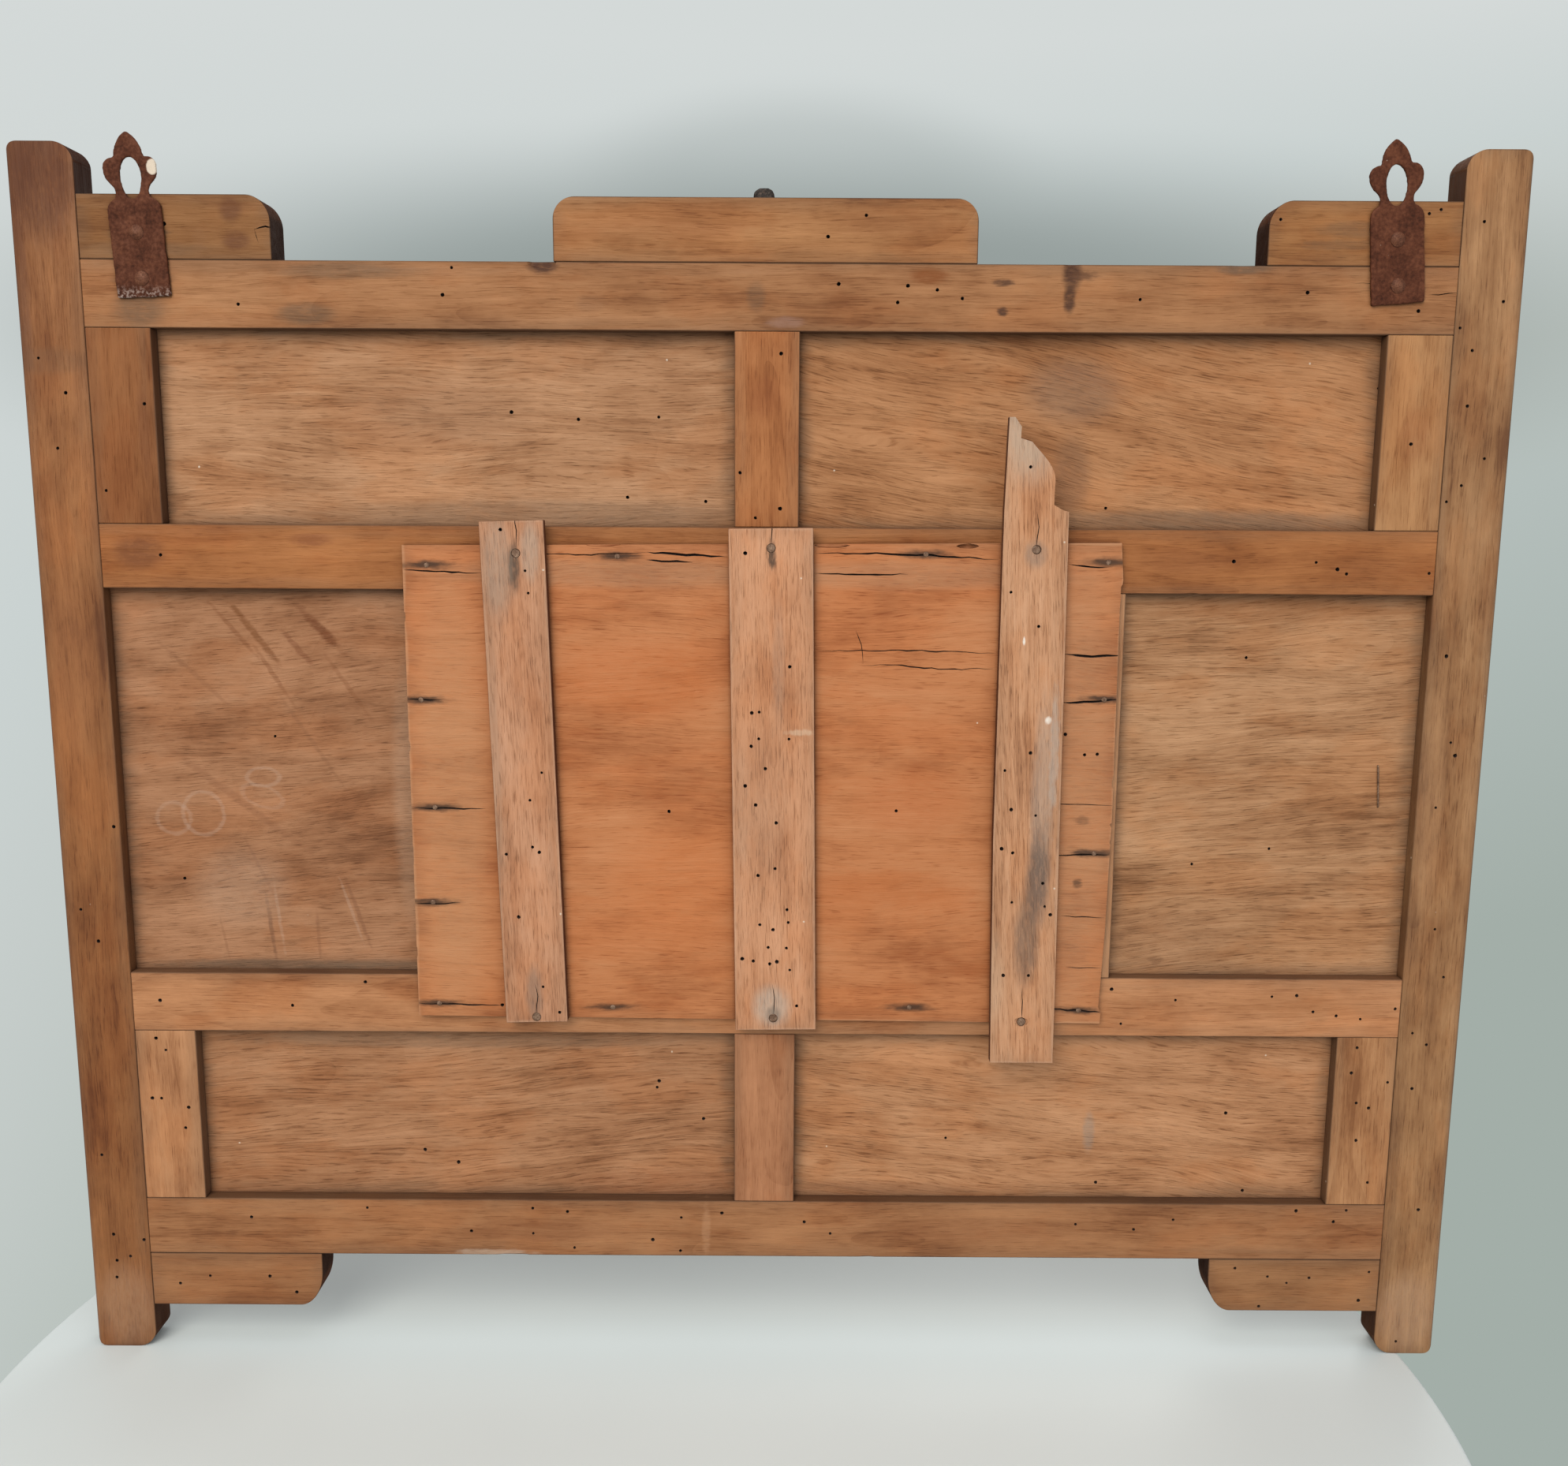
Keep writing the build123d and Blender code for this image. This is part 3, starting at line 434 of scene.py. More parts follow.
def silveredGlass():
    # old mirror: silver behind glass, clouded by specks near its edges
    low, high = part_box("mirror_glass")
    centre, half = (low + high) / 2, (high - low) / 2 / mm
    material, tree = newMaterial("oldSilveredGlass")
    place = addNode(tree, "ShaderNodeTexCoord").outputs["Object"]
    local = addNode(tree, "ShaderNodeMapping", {"vector_type": "TEXTURE"},
                    {"Vector": place, "Location": centre, "Scale": (mm, mm, mm)}).outputs[0]
    inner = addNode(tree, "ShaderNodeVectorMath", {"operation": "ABSOLUTE"}, {0: local}).outputs[0]
    gaps = addNode(tree, "ShaderNodeSeparateXYZ", None,
                   {0: addNode(tree, "ShaderNodeVectorMath", {"operation": "SUBTRACT"},
                               {0: half, 1: inner}).outputs[0]}).outputs
    least = calc(tree, "MINIMUM", gaps[0], gaps[2])
    foxing = cloudy(tree, local, (6, 6, 6), 6.0, 0.7).outputs[0]
    clouded = calc(tree, "MULTIPLY", within(tree, foxing, 0.52, 0.66), within(tree, least, 8, 45, 0.9, 0.06))
    dust = cloudy(tree, local, (60, 60, 90), 3.0, 0.6).outputs[0]
    colour = blended(tree, clouded, toLinear("e3e6e4"), toLinear("4d463c"))
    gloss = calc(tree, "MULTIPLY_ADD", clouded, 0.4, within(tree, dust, 0.4, 0.7, 0.03, 0.10))
    finish = addNode(tree, "ShaderNodeBsdfPrincipled", None,
                     {"Base Color": colour, "Metallic": 1.0, "Roughness": gloss})
    addNode(tree, "ShaderNodeOutputMaterial", None, {0: finish.outputs[0]})
    return material


print("materials ready")


# Mesh work

def weldedCopy(node):
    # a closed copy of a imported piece's mesh, with its flat faces whole again
    shape = bmesh.new()
    shape.from_mesh(cadNodes[node].data)
    bmesh.ops.remove_doubles(shape, verts=shape.verts, dist=2e-6)
    bmesh.ops.dissolve_limit(shape, angle_limit=math.radians(0.4), verts=shape.verts, edges=shape.edges)
    return shape


def crispEdges(mesh, angle=26):
    # smooth shading, broken along every real edge
    shape = bmesh.new()
    shape.from_mesh(mesh)
    for face in shape.faces:
        face.smooth = True
    for edge in shape.edges:
        edge.smooth = len(edge.link_faces) == 2 and edge.calc_face_angle(0) < math.radians(angle)
    shape.to_mesh(mesh)
    shape.free()


def asPiece(name, mesh, nodes):
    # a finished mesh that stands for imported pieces
    piece = bpy.data.objects.new(name, mesh)
    bpy.context.scene.collection.objects.link(piece)
    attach(piece, "root")
    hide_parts(*nodes)
    return piece


def addTube(cutter, start, direction, length, width, dice, sides=9):
    # one worm hole: a short, slightly crooked tube with a blunt end
    turn = direction.to_track_quat("Z", "Y")
    rings = []
    for share, size in ((-0.15, 1.12), (0.03, 1.0), (0.85, 0.9), (1.0, 0.4)):
        loop = []
        for k in range(sides):
            angle = 2 * math.pi * k / sides
            radius = width / 2 * size * dice.uniform(0.88, 1.1)
            point = Vector((radius * math.cos(angle), radius * math.sin(angle), length * share))
            loop.append(cutter.verts.new(start + turn @ point))
        rings.append(loop)
    for a, b in zip(rings, rings[1:]):
        for k in range(sides):
            cutter.faces.new((a[k], a[(k + 1) % sides], b[(k + 1) % sides], b[k]))
    cutter.faces.new(rings[0][::-1])
    cutter.faces.new(rings[-1])


def addSplit(cutter, points, width, depth, faceY, dice):
    # a split along the grain: a thin wedge that follows a line on the face and closes at both ends
    line = []
    for (x0, z0), (x1, z1) in zip(points, points[1:]):
        steps = max(2, int(math.hypot(x1 - x0, z1 - z0) / 4))
        line += [(x0 + (x1 - x0) * k / steps, z0 + (z1 - z0) * k / steps) for k in range(steps)]
    line.append(points[-1])
    stations = []
    for k, (x, z) in enumerate(line):
        share = k / (len(line) - 1)
        open_ = width * (0.12 + 0.88 * math.sin(math.pi * share) ** 0.6) * dice.uniform(0.7, 1.15)
        sway = dice.uniform(-0.35, 0.35)
        ahead = Vector((line[min(k + 1, len(line) - 1)][0] - line[max(k - 1, 0)][0], 0,
                        line[min(k + 1, len(line) - 1)][1] - line[max(k - 1, 0)][1])).normalized()
        beside = Vector((-ahead.z, 0, ahead.x))
        spot = Vector((x, faceY / mm, z)) + beside * sway
        above = spot + Vector((0, -0.6, 0))
        below = spot + Vector((0, depth * (0.35 + 0.65 * math.sin(math.pi * share)), 0))
        corners = (above + beside * open_ / 2, above - beside * open_ / 2, below)
        stations.append([cutter.verts.new(corner * mm) for corner in corners])
    for a, b in zip(stations, stations[1:]):
        for k in range(3):
            cutter.faces.new((a[k], a[(k + 1) % 3], b[(k + 1) % 3], b[k]))
    cutter.faces.new(stations[0][::-1])
    cutter.faces.new(stations[-1])


def addChip(cutter, centre, sizes, seed):
    # a lump of wood knocked out of an edge, which leaves the wood's own colour showing
    made = bmesh.ops.create_icosphere(cutter, subdivisions=2, radius=1.0)["verts"]
    for face in {face for vert in made for face in vert.link_faces}:
        face.material_index = 1
    for vert in made:
        ruffle = 1 + 0.28 * noise.noise(vert.co * 1.7 + Vector((seed, 0, 0)))
        vert.co = Vector(centre) * mm + Vector(c * s * ruffle for c, s in zip(vert.co, sizes)) * mm


def wormHoles(cutter, surface, box, count, seed, taken, width):
    # flight holes of furniture beetles, in loose groups: most on the back, some on the front and the ends
    dice = random.Random(seed)
    ways = (Vector((0, 1, 0)), Vector((0, -1, 0)), Vector((0, 0, -1)), Vector((0, 0, 1)))
    low, high = box
    groups = [Vector(dice.uniform(a, b) for a, b in zip(low, high)) for _ in range(max(2, count // 5))]
    done, tries = 0, 0
    while done < count and tries < count * 30:
        tries += 1
        direction = dice.choices(ways, (70, 22, 4, 4))[0]
        target = Vector(dice.uniform(a, b) for a, b in zip(low, high))
        if dice.random() < 0.5:
            near = dice.choice(groups)
            target = Vector(c + dice.gauss(0, 16 * mm) for c in near)
        start = target - direction * 0.2
        # the wood has to be flat and whole all round the hole
        hits = [surface.ray_cast(start + offset, direction)
                for offset in (Vector((0, 0, 0)), Vector((1.9 * mm, 0, 0)), Vector((-1.9 * mm, 0, 0)),
                               direction.cross(Vector((1, 0, 0))) * 1.9 * mm,
                               direction.cross(Vector((1, 0, 0))) * -1.9 * mm)]
        if any(hit[0] is None or hit[1].dot(direction) > -0.995 for hit in hits):
            continue
        if max(abs((hit[0] - hits[0][0]).dot(direction)) for hit in hits) > 0.05 * mm:
            continue
        if any((hits[0][0] - other).length < 3.2 * mm for other in taken):
            continue
        skew = Vector((dice.uniform(-0.3, 0.3), dice.uniform(-0.3, 0.3), dice.uniform(-0.3, 0.3)))
        addTube(cutter, hits[0][0], (direction + skew * 0.5).normalized(),
                dice.uniform(2.6, 3.6) * mm, dice.uniform(*width) * mm, dice)
        taken.append(hits[0][0].copy())
        done += 1


def carved(name, node, material, holes=0, seed=0, splits=(), chips=(), holeWidth=(1.5, 2.3)):
    # a wooden piece with its worm holes, splits and chips cut out of it
    shape = weldedCopy(node)
    body = bpy.data.meshes.new(name)
    shape.to_mesh(body)
    surface = BVHTree.FromBMesh(shape)
    shape.free()
    body.materials.clear()
    body.materials.append(material)
    piece = asPiece(name, body, [node])
    dice = random.Random(seed + 7)
    low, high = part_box(node)
    cutter = bmesh.new()
    taken = []
    if holes:
        wormHoles(cutter, surface, (low, high), holes, seed, taken, holeWidth)
    for points, width, depth in splits:
        addSplit(cutter, points, width, depth, low.y, dice)
    for k, (centre, sizes) in enumerate(chips):
        addChip(cutter, centre, sizes, seed + k * 3.7)
    if cutter.verts:
        bmesh.ops.recalc_face_normals(cutter, faces=cutter.faces)
        cutMesh = bpy.data.meshes.new(name + "Cuts")
        cutter.to_mesh(cutMesh)
        cutMesh.materials.append(innerWood)
        cutMesh.materials.append(material)
        cuts = bpy.data.objects.new(name + "Cuts", cutMesh)
        bpy.context.scene.collection.objects.link(cuts)
        carve = piece.modifiers.new("cuts", "BOOLEAN")
        carve.operation, carve.solver, carve.object = "DIFFERENCE", "EXACT", cuts
        carve.material_mode = "TRANSFER"
        carve.use_self = True
        bpy.context.view_layer.update()
        result = bpy.data.meshes.new_from_object(piece.evaluated_get(bpy.context.evaluated_depsgraph_get()))
        piece.modifiers.clear()
        piece.data = result
        bpy.data.objects.remove(cuts)
    cutter.free()
    crispEdges(piece.data)
    even = piece.modifiers.new("even", "WEIGHTED_NORMAL")
    even.keep_sharp = True
    return piece


def islandCentres(node):
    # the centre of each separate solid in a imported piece, in millimetres
    shape = bmesh.new()
    shape.from_mesh(cadNodes[node].data)
    bmesh.ops.remove_doubles(shape, verts=shape.verts, dist=2e-6)
    seen, centres = set(), []
    for first in shape.verts:
        if first in seen:
            continue
        group, queue = [], [first]
        seen.add(first)
        while queue:
            vert = queue.pop()
            group.append(vert.co.copy())
            for edge in vert.link_edges:
                other = edge.other_vert(vert)
                if other not in seen:
                    seen.add(other)
                    queue.append(other)
        lows = [min(c[i] for c in group) for i in range(3)]
        highs = [max(c[i] for c in group) for i in range(3)]
        centres.append(tuple((a + b) / 2 / mm for a, b in zip(lows, highs)))
    shape.free()
    return centres


def narrowestLean(node):
    # the lean at which an upright lath is narrowest, in degrees, the top to the left
    points = [v.co for v in cadNodes[node].data.vertices]
    best = None
    for tenth in range(-40, 41):
        angle = math.radians(tenth / 10)
        spread = [p.x * math.cos(angle) + p.z * math.sin(angle) for p in points]
        width = max(spread) - min(spread)
        if best is None or width < best[0] - 1e-7:
            best = (width, tenth / 10)
    return best[1]


def leaningBox(node, lean):
    # a box that leans with the piece: its corners as if the piece stood straight about its own centre
    angle = math.radians(lean)
    points = [v.co for v in cadNodes[node].data.vertices]
    across = [p.x * math.cos(angle) + p.z * math.sin(angle) for p in points]
    up = [-p.x * math.sin(angle) + p.z * math.cos(angle) for p in points]
    depth = [p.y for p in points]
    a, u = (min(across) + max(across)) / 2, (min(up) + max(up)) / 2
    centre = Vector((a * math.cos(angle) - u * math.sin(angle), (min(depth) + max(depth)) / 2,
                     a * math.sin(angle) + u * math.cos(angle)))
    half = Vector(((max(across) - min(across)) / 2, (max(depth) - min(depth)) / 2, (max(up) - min(up)) / 2))
    return centre - half, centre + half


boardLow, boardHigh = (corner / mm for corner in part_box("back_board"))
boardNails = [(x, z) for x, y, z in islandCentres("board_nails")]
battenNails = [(x, z) for x, y, z in islandCentres("batten_nails")]
hangerNails = [(x, z) for x, y, z in islandCentres("hanger_nails")]
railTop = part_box("top_rail")[1].z / mm

# The frame's members: kind, tone, grain upright or not, worm holes, and what has marked each one.
# The tones of nearly all wooden pieces were balanced by a separate program, not picked one by one.
soot, greyInk = "3a2a1f", "5c4836"
between = {"coveredSidesBetween": (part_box("bottom_rail")[0].z / mm, railTop)}
# A member is bare frame wood unless it says otherwise.
# the blocks and the crest get the full side darkening, stain and painted shade together
stainedShadedSides = {"sideStainAndShade": 0.95}  # the blocks and the crest are stained on their side faces
members = {
    "left_post": {
        "slot": "post_wood", "kind": "waxedPost", "changes": between, "tone": "82532e", "upright": True,
        "holes": 16,
        "stains": [(-382, 0, 24, 38, 0.7, "55311e"), (-396, -60, 5, 60, 0.5, "5c3622"),
            (-384, -93, 24, 8, 0.25, greyInk), (-384, -260, 15, 60, 0.35, "a06a42"),
            (-380, -640, 20, 30, 0.4, "a98467")]},
    "right_post": {
        "slot": "post_wood", "kind": "waxedPost", "changes": between, "tone": "916944", "upright": True,
        "holes": 30,
        "stains": [(384, -180, 9, 60, 0.35, "83603f"), (382, -640, 20, 30, 0.4, "a98a70"),
            (372, -330, 8, 80, 0.3, "b58a62")]},
    "top_rail": {
        "tone": "92643f", "holes": 22,
        "stains": [(-334, -66, 16, 11, 0.6, greyInk), (-246, -68, 18, 7, 0.6, greyInk),
            (-225, -46, 40, 5, 0.5, greyInk), (160, -46, 6.0, 9, 0.95, "452818"),
            (159, -58, 3.8, 9, 0.95, "4a2d1c"), (166, -46, 9, 3, 0.8, "5b3a24"),
            # the dark spot at x -120 by the top edge paints the shade in the chip there
            (84, -47, 11, 5, 0.85, "7a451f"), (-120, -43, 9, 4.5, 0.95, "46291a"),
            (250, -42, 16, 4, 0.7, "5d4a3a"), (124, -65, 3.4, 2.4, 0.95, "4a2d1c"),
            (123, -50, 7, 2, 0.85, "4a2d1c"), (-7, -58, 6, 9, 0.45, greyInk),
            (9, -71, 11, 3.5, 0.6, "8c6a5a"), (-95, -62, 9, 5, 0.35, "7f5a3e")],
        "splits": [([(306, -49), (346, -50)], 0.35, 2.0), ([(349, -55), (364.5, -54)], 0.6, 3.0)],
        "chips": [((-120, 0, railTop + 0.6), (8.5, 2.2, 4.6)), ((250, 0, railTop + 0.5), (9, 1.2, 2.2)),
            ((160, 0, railTop + 0.5), (5, 1.2, 2.0))]},
    "upper_middle_rail": {
        "tone": "945d32", "holes": 16,
        "stains": [(-343, -194, 16, 11, 0.7, "683a1e"), (-249, -187, 13, 4, 0.6, "743f20"),
            (225, -196, 30, 8, 0.35, "8a5530"), (330, -200, 24, 8, 0.3, "8a5530")],
        "chips": [((-215, 0, -178), (6, 1, 1.6)), ((232, 0, -214), (5, 1.2, 1.4))]},
    "lower_middle_rail": {
        "tone": "a9754e", "holes": 26,
        "stains": [(-240, -452, 40, 5, 0.3, "8e5d38"), (300, -448, 50, 8, 0.3, "96623a")]},
    "bottom_rail": {
        "tone": "936440", "holes": 30,
        "stains": [(-130, -590, 60, 9, 0.3, "7b4a2c"), (-35, -588, 3, 16, 0.3, "b98d6a"),
            (120, -588, 70, 10, 0.3, "7f4f30"), (-160, -604, 26, 2.5, 0.5, "b5a08c")],
        "chips": [((-150, 0, -606), (12, 1.2, 1.6)), ((60, 0, -606), (6, 1, 1.4))]},
    "upper_left_stile": {
        "tone": "7c4c27", "upright": True, "holes": 3,
        "stains": [(-336, -130, 4, 30, 0.4, "6b3e22")]},
    "upper_right_stile": {
        "tone": "9e7148", "upright": True, "holes": 5,
        "stains": [(347, -128, 10, 18, 0.35, "8e5530")]},
    "upper_centre_muntin": {
        "tone": "9e653a", "upright": True, "holes": 5,
        "stains": [(-2, -110, 10, 14, 0.35, "8a4f2b")]},
    "middle_left_muntin": {
        "tone": "a66b43", "upright": True, "holes": 4},
    "middle_right_muntin": {
        "tone": "b0805a", "upright": True, "holes": 4},
    "lower_left_stile": {
        "tone": "aa7953", "upright": True, "holes": 9},
    "lower_right_stile": {
        "tone": "a77850", "upright": True, "holes": 11},
    "lower_centre_muntin": {
        "tone": "9f6c4a", "upright": True, "holes": 4},
    "top_left_block": {
        "tone": "7e542e", "changes": stainedShadedSides,
        "holes": 8,
        "stains": [(-283, -15, 7, 8, 0.85, "633b1f"), (-281, -31, 8.5, 6, 0.85, "633b1f"),
            (-300, -30, 4, 6, 0.4, "7f5634"), (-330, -35, 40, 4, 0.3, greyInk)],
        "splits": [([(-271, -25), (-265, -23.6), (-262, -24)], 1.0, 3.0),
            ([(-271, -24.5), (-268.6, -32.4)], 0.5, 1.6)]},
    "top_right_block": {
        "tone": "8d5f36", "changes": stainedShadedSides,
        "holes": 5, "stains": [(310, -22, 26, 5, 0.4, greyInk), (300, -30, 26, 3, 0.35, greyInk)]},
    "bottom_left_block": {
        "tone": "8c5e3b", "changes": stainedShadedSides,
        "holes": 6},
    "bottom_right_block": {
        "tone": "8b603d", "changes": stainedShadedSides,
        "holes": 9},
    "crest": {
        "tone": "93643c", "changes": stainedShadedSides,
        "holes": 3, "stains": [(-60, -24, 50, 7, 0.25, "8c5a36"), (70, -20, 40, 8, 0.25, "8c5a36")]},
}

for number, (node, member) in enumerate(members.items()):
    member = {"slot": "frame_wood", "kind": "planedFrame", **member}
    upright = member.get("upright", False)
    nails = hangerNails if node in ("top_rail", "top_left_block", "top_right_block") else ()
    wood = oldWood(node + "Wood", member["kind"], member["tone"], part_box(node), upright=upright,
                   seed=number + 11, stains=member.get("stains", ()), nails=nails,
                   changes=member.get("changes"))
    carved(node + "_wood", node, wood, member["holes"], number + 31, member.get("splits", ()),
           member.get("chips", ()))
print("frame carved")

# The six thin panels: their grain runs across, and each sheet has its own wild figure
panelEntry = 5.0  # how far a panel's edge is hidden in its groove
panels = {
    "upper_left_panel": {
        "tone": "9f7452", "turn": 0.0, "holes": 5,
        "stains": [(-180, -120, 60, 22, 0.25, "8f6a50"), (-120, -172, 120, 9, 0.45, "77604c")]},
    "upper_right_panel": {
        "tone": "9d6d47", "turn": -9.0, "holes": 6, "changes": {"curl": 9.0, "wander": 26.0},
        "stains": [(165, -105, 30, 20, 0.45, "7a6250"), (165, -150, 12, 26, 0.5, "6e4f3a"),
            (240, -174, 110, 7, 0.55, "77604c")]},
    "middle_left_panel": {
        "tone": "986b4b", "turn": 4.0, "figureTurn": 58.0, "holes": 3,
        "changes": {"curl": 6.0, "wander": 40.0, "rings": 0.08, "fibres": 0.34, "streaks": 0.26, "drift": 0.25,
            "ringWidth": 21.0, "clouds": 0.95, "pores": 0.34},
        "stains": [(-249, -236, 19, 3.2, 0.80, "693a1e", -46), (-262, -247, 15, 2.0, 0.55, "75452a", -50),
            (-286, -238, 26, 2.4, 0.70, "70421f", -53), (-297, -237, 22, 1.6, 0.55, "7a4b2c", -50),
            (-276, -262, 22, 1.6, 0.50, "7a4b2c", -58), (-235, -268, 26, 1.6, 0.45, "7d4f31", -56),
            (-320, -262, 34, 1.6, 0.35, "7d5236", -44), (-256, -300, 40, 1.4, 0.35, "80563a", -57),
            (-300, -333, 64, 2.8, 0.38, "7f5236", -38), (-285, -408, 26, 1.5, 0.60, "6f4a34", -84),
            (-280, -402, 24, 1.2, 0.22, "bb9f8a", -84), (-290, -372, 22, 1.3, 0.45, "7b5036", -66),
            (-235, -398, 26, 1.5, 0.55, "7b5036", -72), (-239, -396, 22, 1.1, 0.22, "bb9f8a", -72),
            (-258, -412, 16, 1.2, 0.40, "7b5036", -88), (-312, -415, 14, 1.0, 0.35, "80563a", -80),
            (-203, -330, 10, 80, 0.30, "bd9c80"), (-300, -385, 30, 26, 0.25, "b3977f"),
            (-290, -430, 70, 3.5, 0.6, "5f4e3f"), (-220, -432, 40, 5, 0.5, "6b5a49")],
        "chalk": [(-285, -320, 9, 5.4, 0, 0.24, 0.17, "c4ab98"),
            (-286, -331, 12, 6, -20, 0.20, 0.11, "c4ab98"),
            (-320, -341, 11.5, 12.5, 0, 0.14, 0.18, "c4ab98"),
            (-337, -344, 9.5, 9, 0, 0.18, 0.15, "c4ab98")]},
    "middle_right_panel": {
        "tone": "a27753", "turn": 3.0, "holes": 5,
        "stains": [(225, -425, 4, 3, 0.5, "6f4c33"), (204, -410, 3, 3, 0.45, "6f4c33"),
            (230, -412, 40, 20, 0.3, "8c6548"), (280, -222, 80, 8, 0.4, "8f5a33")]},
    "lower_left_panel": {
        "tone": "9c6e4c", "turn": 4.0, "holes": 5,
        "stains": [(-60, -565, 60, 12, 0.3, "8a5232"), (-180, -476, 150, 5, 0.45, "77604c")]},
    "lower_right_panel": {
        "tone": "a87853", "turn": -5.0, "holes": 6, "changes": {"curl": 10.0, "wander": 30.0},
        "stains": [(190, -530, 4, 14, 0.5, "8d8073"), (60, -566, 70, 6, 0.4, "8a5a3a")]},
}
for number, (node, sheet) in enumerate(panels.items()):
    wood = oldWood(node + "Sheet", "peeledPanel", sheet["tone"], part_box(node), turn=sheet["turn"],
                   figureTurn=sheet.get("figureTurn"), seed=number + 61, stains=sheet["stains"],
                   chalk=sheet.get("chalk", ()), grimeFrom=panelEntry, changes=sheet.get("changes"))
    carved(node + "_sheet", node, wood, sheet["holes"], number + 71)
print("panels cut")

# The thin board over the mirror: splits run in from its nails and its ends. Each is a path, a width, a depth.
boardSplits = [
    ([(-198, -202.6), (-176, -203.6), (-156, -204.2)], 1.2, 3.0),
    ([(-134, -193), (-100, -194), (-66, -192.5)], 0.8, 2.2),
    ([(-66, -192.5), (-40, -193.8), (-22, -194.5)], 1.8, 3.0), ([(-66, -196.6), (-41, -197.5)], 1.6, 3.0),
    ([(26, -192.4), (54, -192.2), (85, -193.1), (125, -195.1)], 1.4, 3.0),
    ([(26, -203.4), (50, -204), (76, -203.3)], 1.4, 3.0),
    ([(27, -245.5), (72, -244.8), (125, -246.2)], 0.9, 2.4),
    ([(53, -253.3), (70, -252.9), (98, -255.4), (124, -254.5)], 0.9, 2.4),
    ([(48, -234), (51, -242), (52.7, -252.4)], 0.8, 2.0), ([(163, -197.8), (184, -199.3)], 1.4, 3.0),
    ([(162, -246.2), (178, -247.5), (194.5, -246.6)], 1.8, 3.4),
    ([(162, -273.5), (183, -272.3), (194.5, -271.2)], 1.6, 3.4), ([(160, -359.5), (193, -359.4)], 1.4, 3.0),
    ([(160, -449.8), (192, -451.6)], 1.5, 3.0), ([(-199, -273.7), (-179, -273.7)], 1.1, 2.6),
    ([(-199, -334.9), (-157, -334.8)], 1.1, 2.6), ([(-199, -390), (-173, -389.5)], 1.1, 2.6),
    ([(-199, -448.8), (-150, -449.4)], 1.2, 2.8), ([(150, -330), (193.8, -331)], 0.7, 2.0),
    ([(170, -425), (190, -425.5)], 0.8, 2.2), ([(166, -395), (191, -396)], 0.7, 2.0),
]
dice = random.Random(5)
boardChips = [((boardHigh.x + 0.6, -1.5, z), (dice.uniform(1.6, 3.4), 3.4, dice.uniform(2.0, 7.5)))
              for z in (-213, -228, -262, -301, -318, -342, -352, -377, -404, -431, -446)]
boardChips += [((boardLow.x - 0.4, -3.2, z), (dice.uniform(0.8, 1.5), 2.0, dice.uniform(3, 9)))
               for z in (-228, -300, -362, -418)]
boardChips += [((x, -3.4, boardHigh.z - 2.2), (dice.uniform(4, 11), 1.6, 1.6)) for x in (-90, 34, 108)]
boardWood = oldWood("agedBoardWood", "nailedBoard", "ae6f44", (boardLow * mm, boardHigh * mm), seed=91,
                    nails=boardNails,
                    stains=[(-70, -262, 55, 26, 0.4, "b3602b"), (-50, -375, 45, 40, 0.35, "c0703c"),
                            (80, -330, 36, 22, 0.4, "ad5f30"), (70, -380, 52, 12, 0.35, "ab602f"),
                            (172, -330, 24, 150, 0.40, "a5805f"), (-176, -330, 24, 150, 0.40, "b08560"),
                            (-80, -204, 120, 9, 0.45, "a27a5a"), (80, -204, 110, 9, 0.40, "a27a5a"),
                            (176, -340, 5, 3, 0.6, "6b4a33"), (175, -376, 3, 3, 0.7, soot)])
carved("back_board_wood", "back_board", boardWood, 9, 93, boardSplits, boardChips)

# Three sawn battens; the right one is weathered grey down one side and snapped at the top
battens = {
    "left_batten": {
        "tone": "b68565", "holes": 14,
        "stains": [(-137, -200, 3.6, 16, 0.85, "4c4239"), (-146, -200, 9, 32, 0.5, "9a8a7a"),
            (-128, -192, 6, 18, 0.5, "a39484"), (-131, -440, 6, 18, 0.5, "7a6c60"),
            (-150, -330, 4, 100, 0.25, "96826f")]},
    "middle_batten": {
        "tone": "ba8663", "holes": 34,
        "stains": [(2, -193, 3.0, 10, 0.85, "3f342c"), (3, -447, 12, 14, 0.6, "b3a596"),
            (4, -452, 5, 6, 0.7, "75695e"), (18, -290, 10, 2.0, 0.5, "cdb196"),
            (-4, -330, 18, 60, 0.25, "9e8069"), (6, -250, 4, 40, 0.3, "a08672")]},
    "right_batten": {
        "tone": "b78764", "holes": 26, "changes": {"streaks": 0.7, "fibres": 0.6},
        "stains": [(152, -330, 7, 70, 0.5, "9b8b7d"), (151, -372, 8, 30, 0.75, "5a4c44"),
            (140, -125, 18, 34, 0.65, "ae9c89"), (146, -408, 8, 30, 0.65, "635247"),
            (158, -300, 3, 40, 0.5, "a99f94"), (144, -192, 7, 9, 0.5, "7d7065"),
            (154, -282.4, 2.0, 2.6, 0.95, "e6ddd0"), (139.4, -238.6, 0.9, 2.6, 0.9, "e6ddd0"),
            (128, -430, 8, 30, 0.3, "c9a98b")]},
}
for number, (node, batten) in enumerate(battens.items()):
    lean = narrowestLean(node)
    low, high = leaningBox(node, lean)
    own = [(x, z) for x, z in battenNails if low.x / mm - 6 < x < high.x / mm + 6]
    wood = oldWood(node + "Lath", "sawnBatten", batten["tone"], (low, high), lean=lean, upright=True,
                   turn=2.5 if node == "right_batten" else 0.0, seed=number + 101, stains=batten["stains"],
                   changes=batten.get("changes"))
    splits = [([(x, z + 1), (x + 0.6, z + 12), (x - 0.5, z + 20)], 0.7, 2.2) for x, z in own]
    chips = [((x, -10.4, z), (4.2, 1.5, 3.0)) for x, z in own[:1]] if node == "right_batten" else []
    carved(node + "_lath", node, wood, batten["holes"], number + 111, splits, chips)
print("board and battens nailed on")

# Ironwork: each forging is rebuilt as a fine skin, then dented a little so that no edge is dead straight
forging = {"skin": 0.55, "dent": 0.32, "dentSize": 7.0}


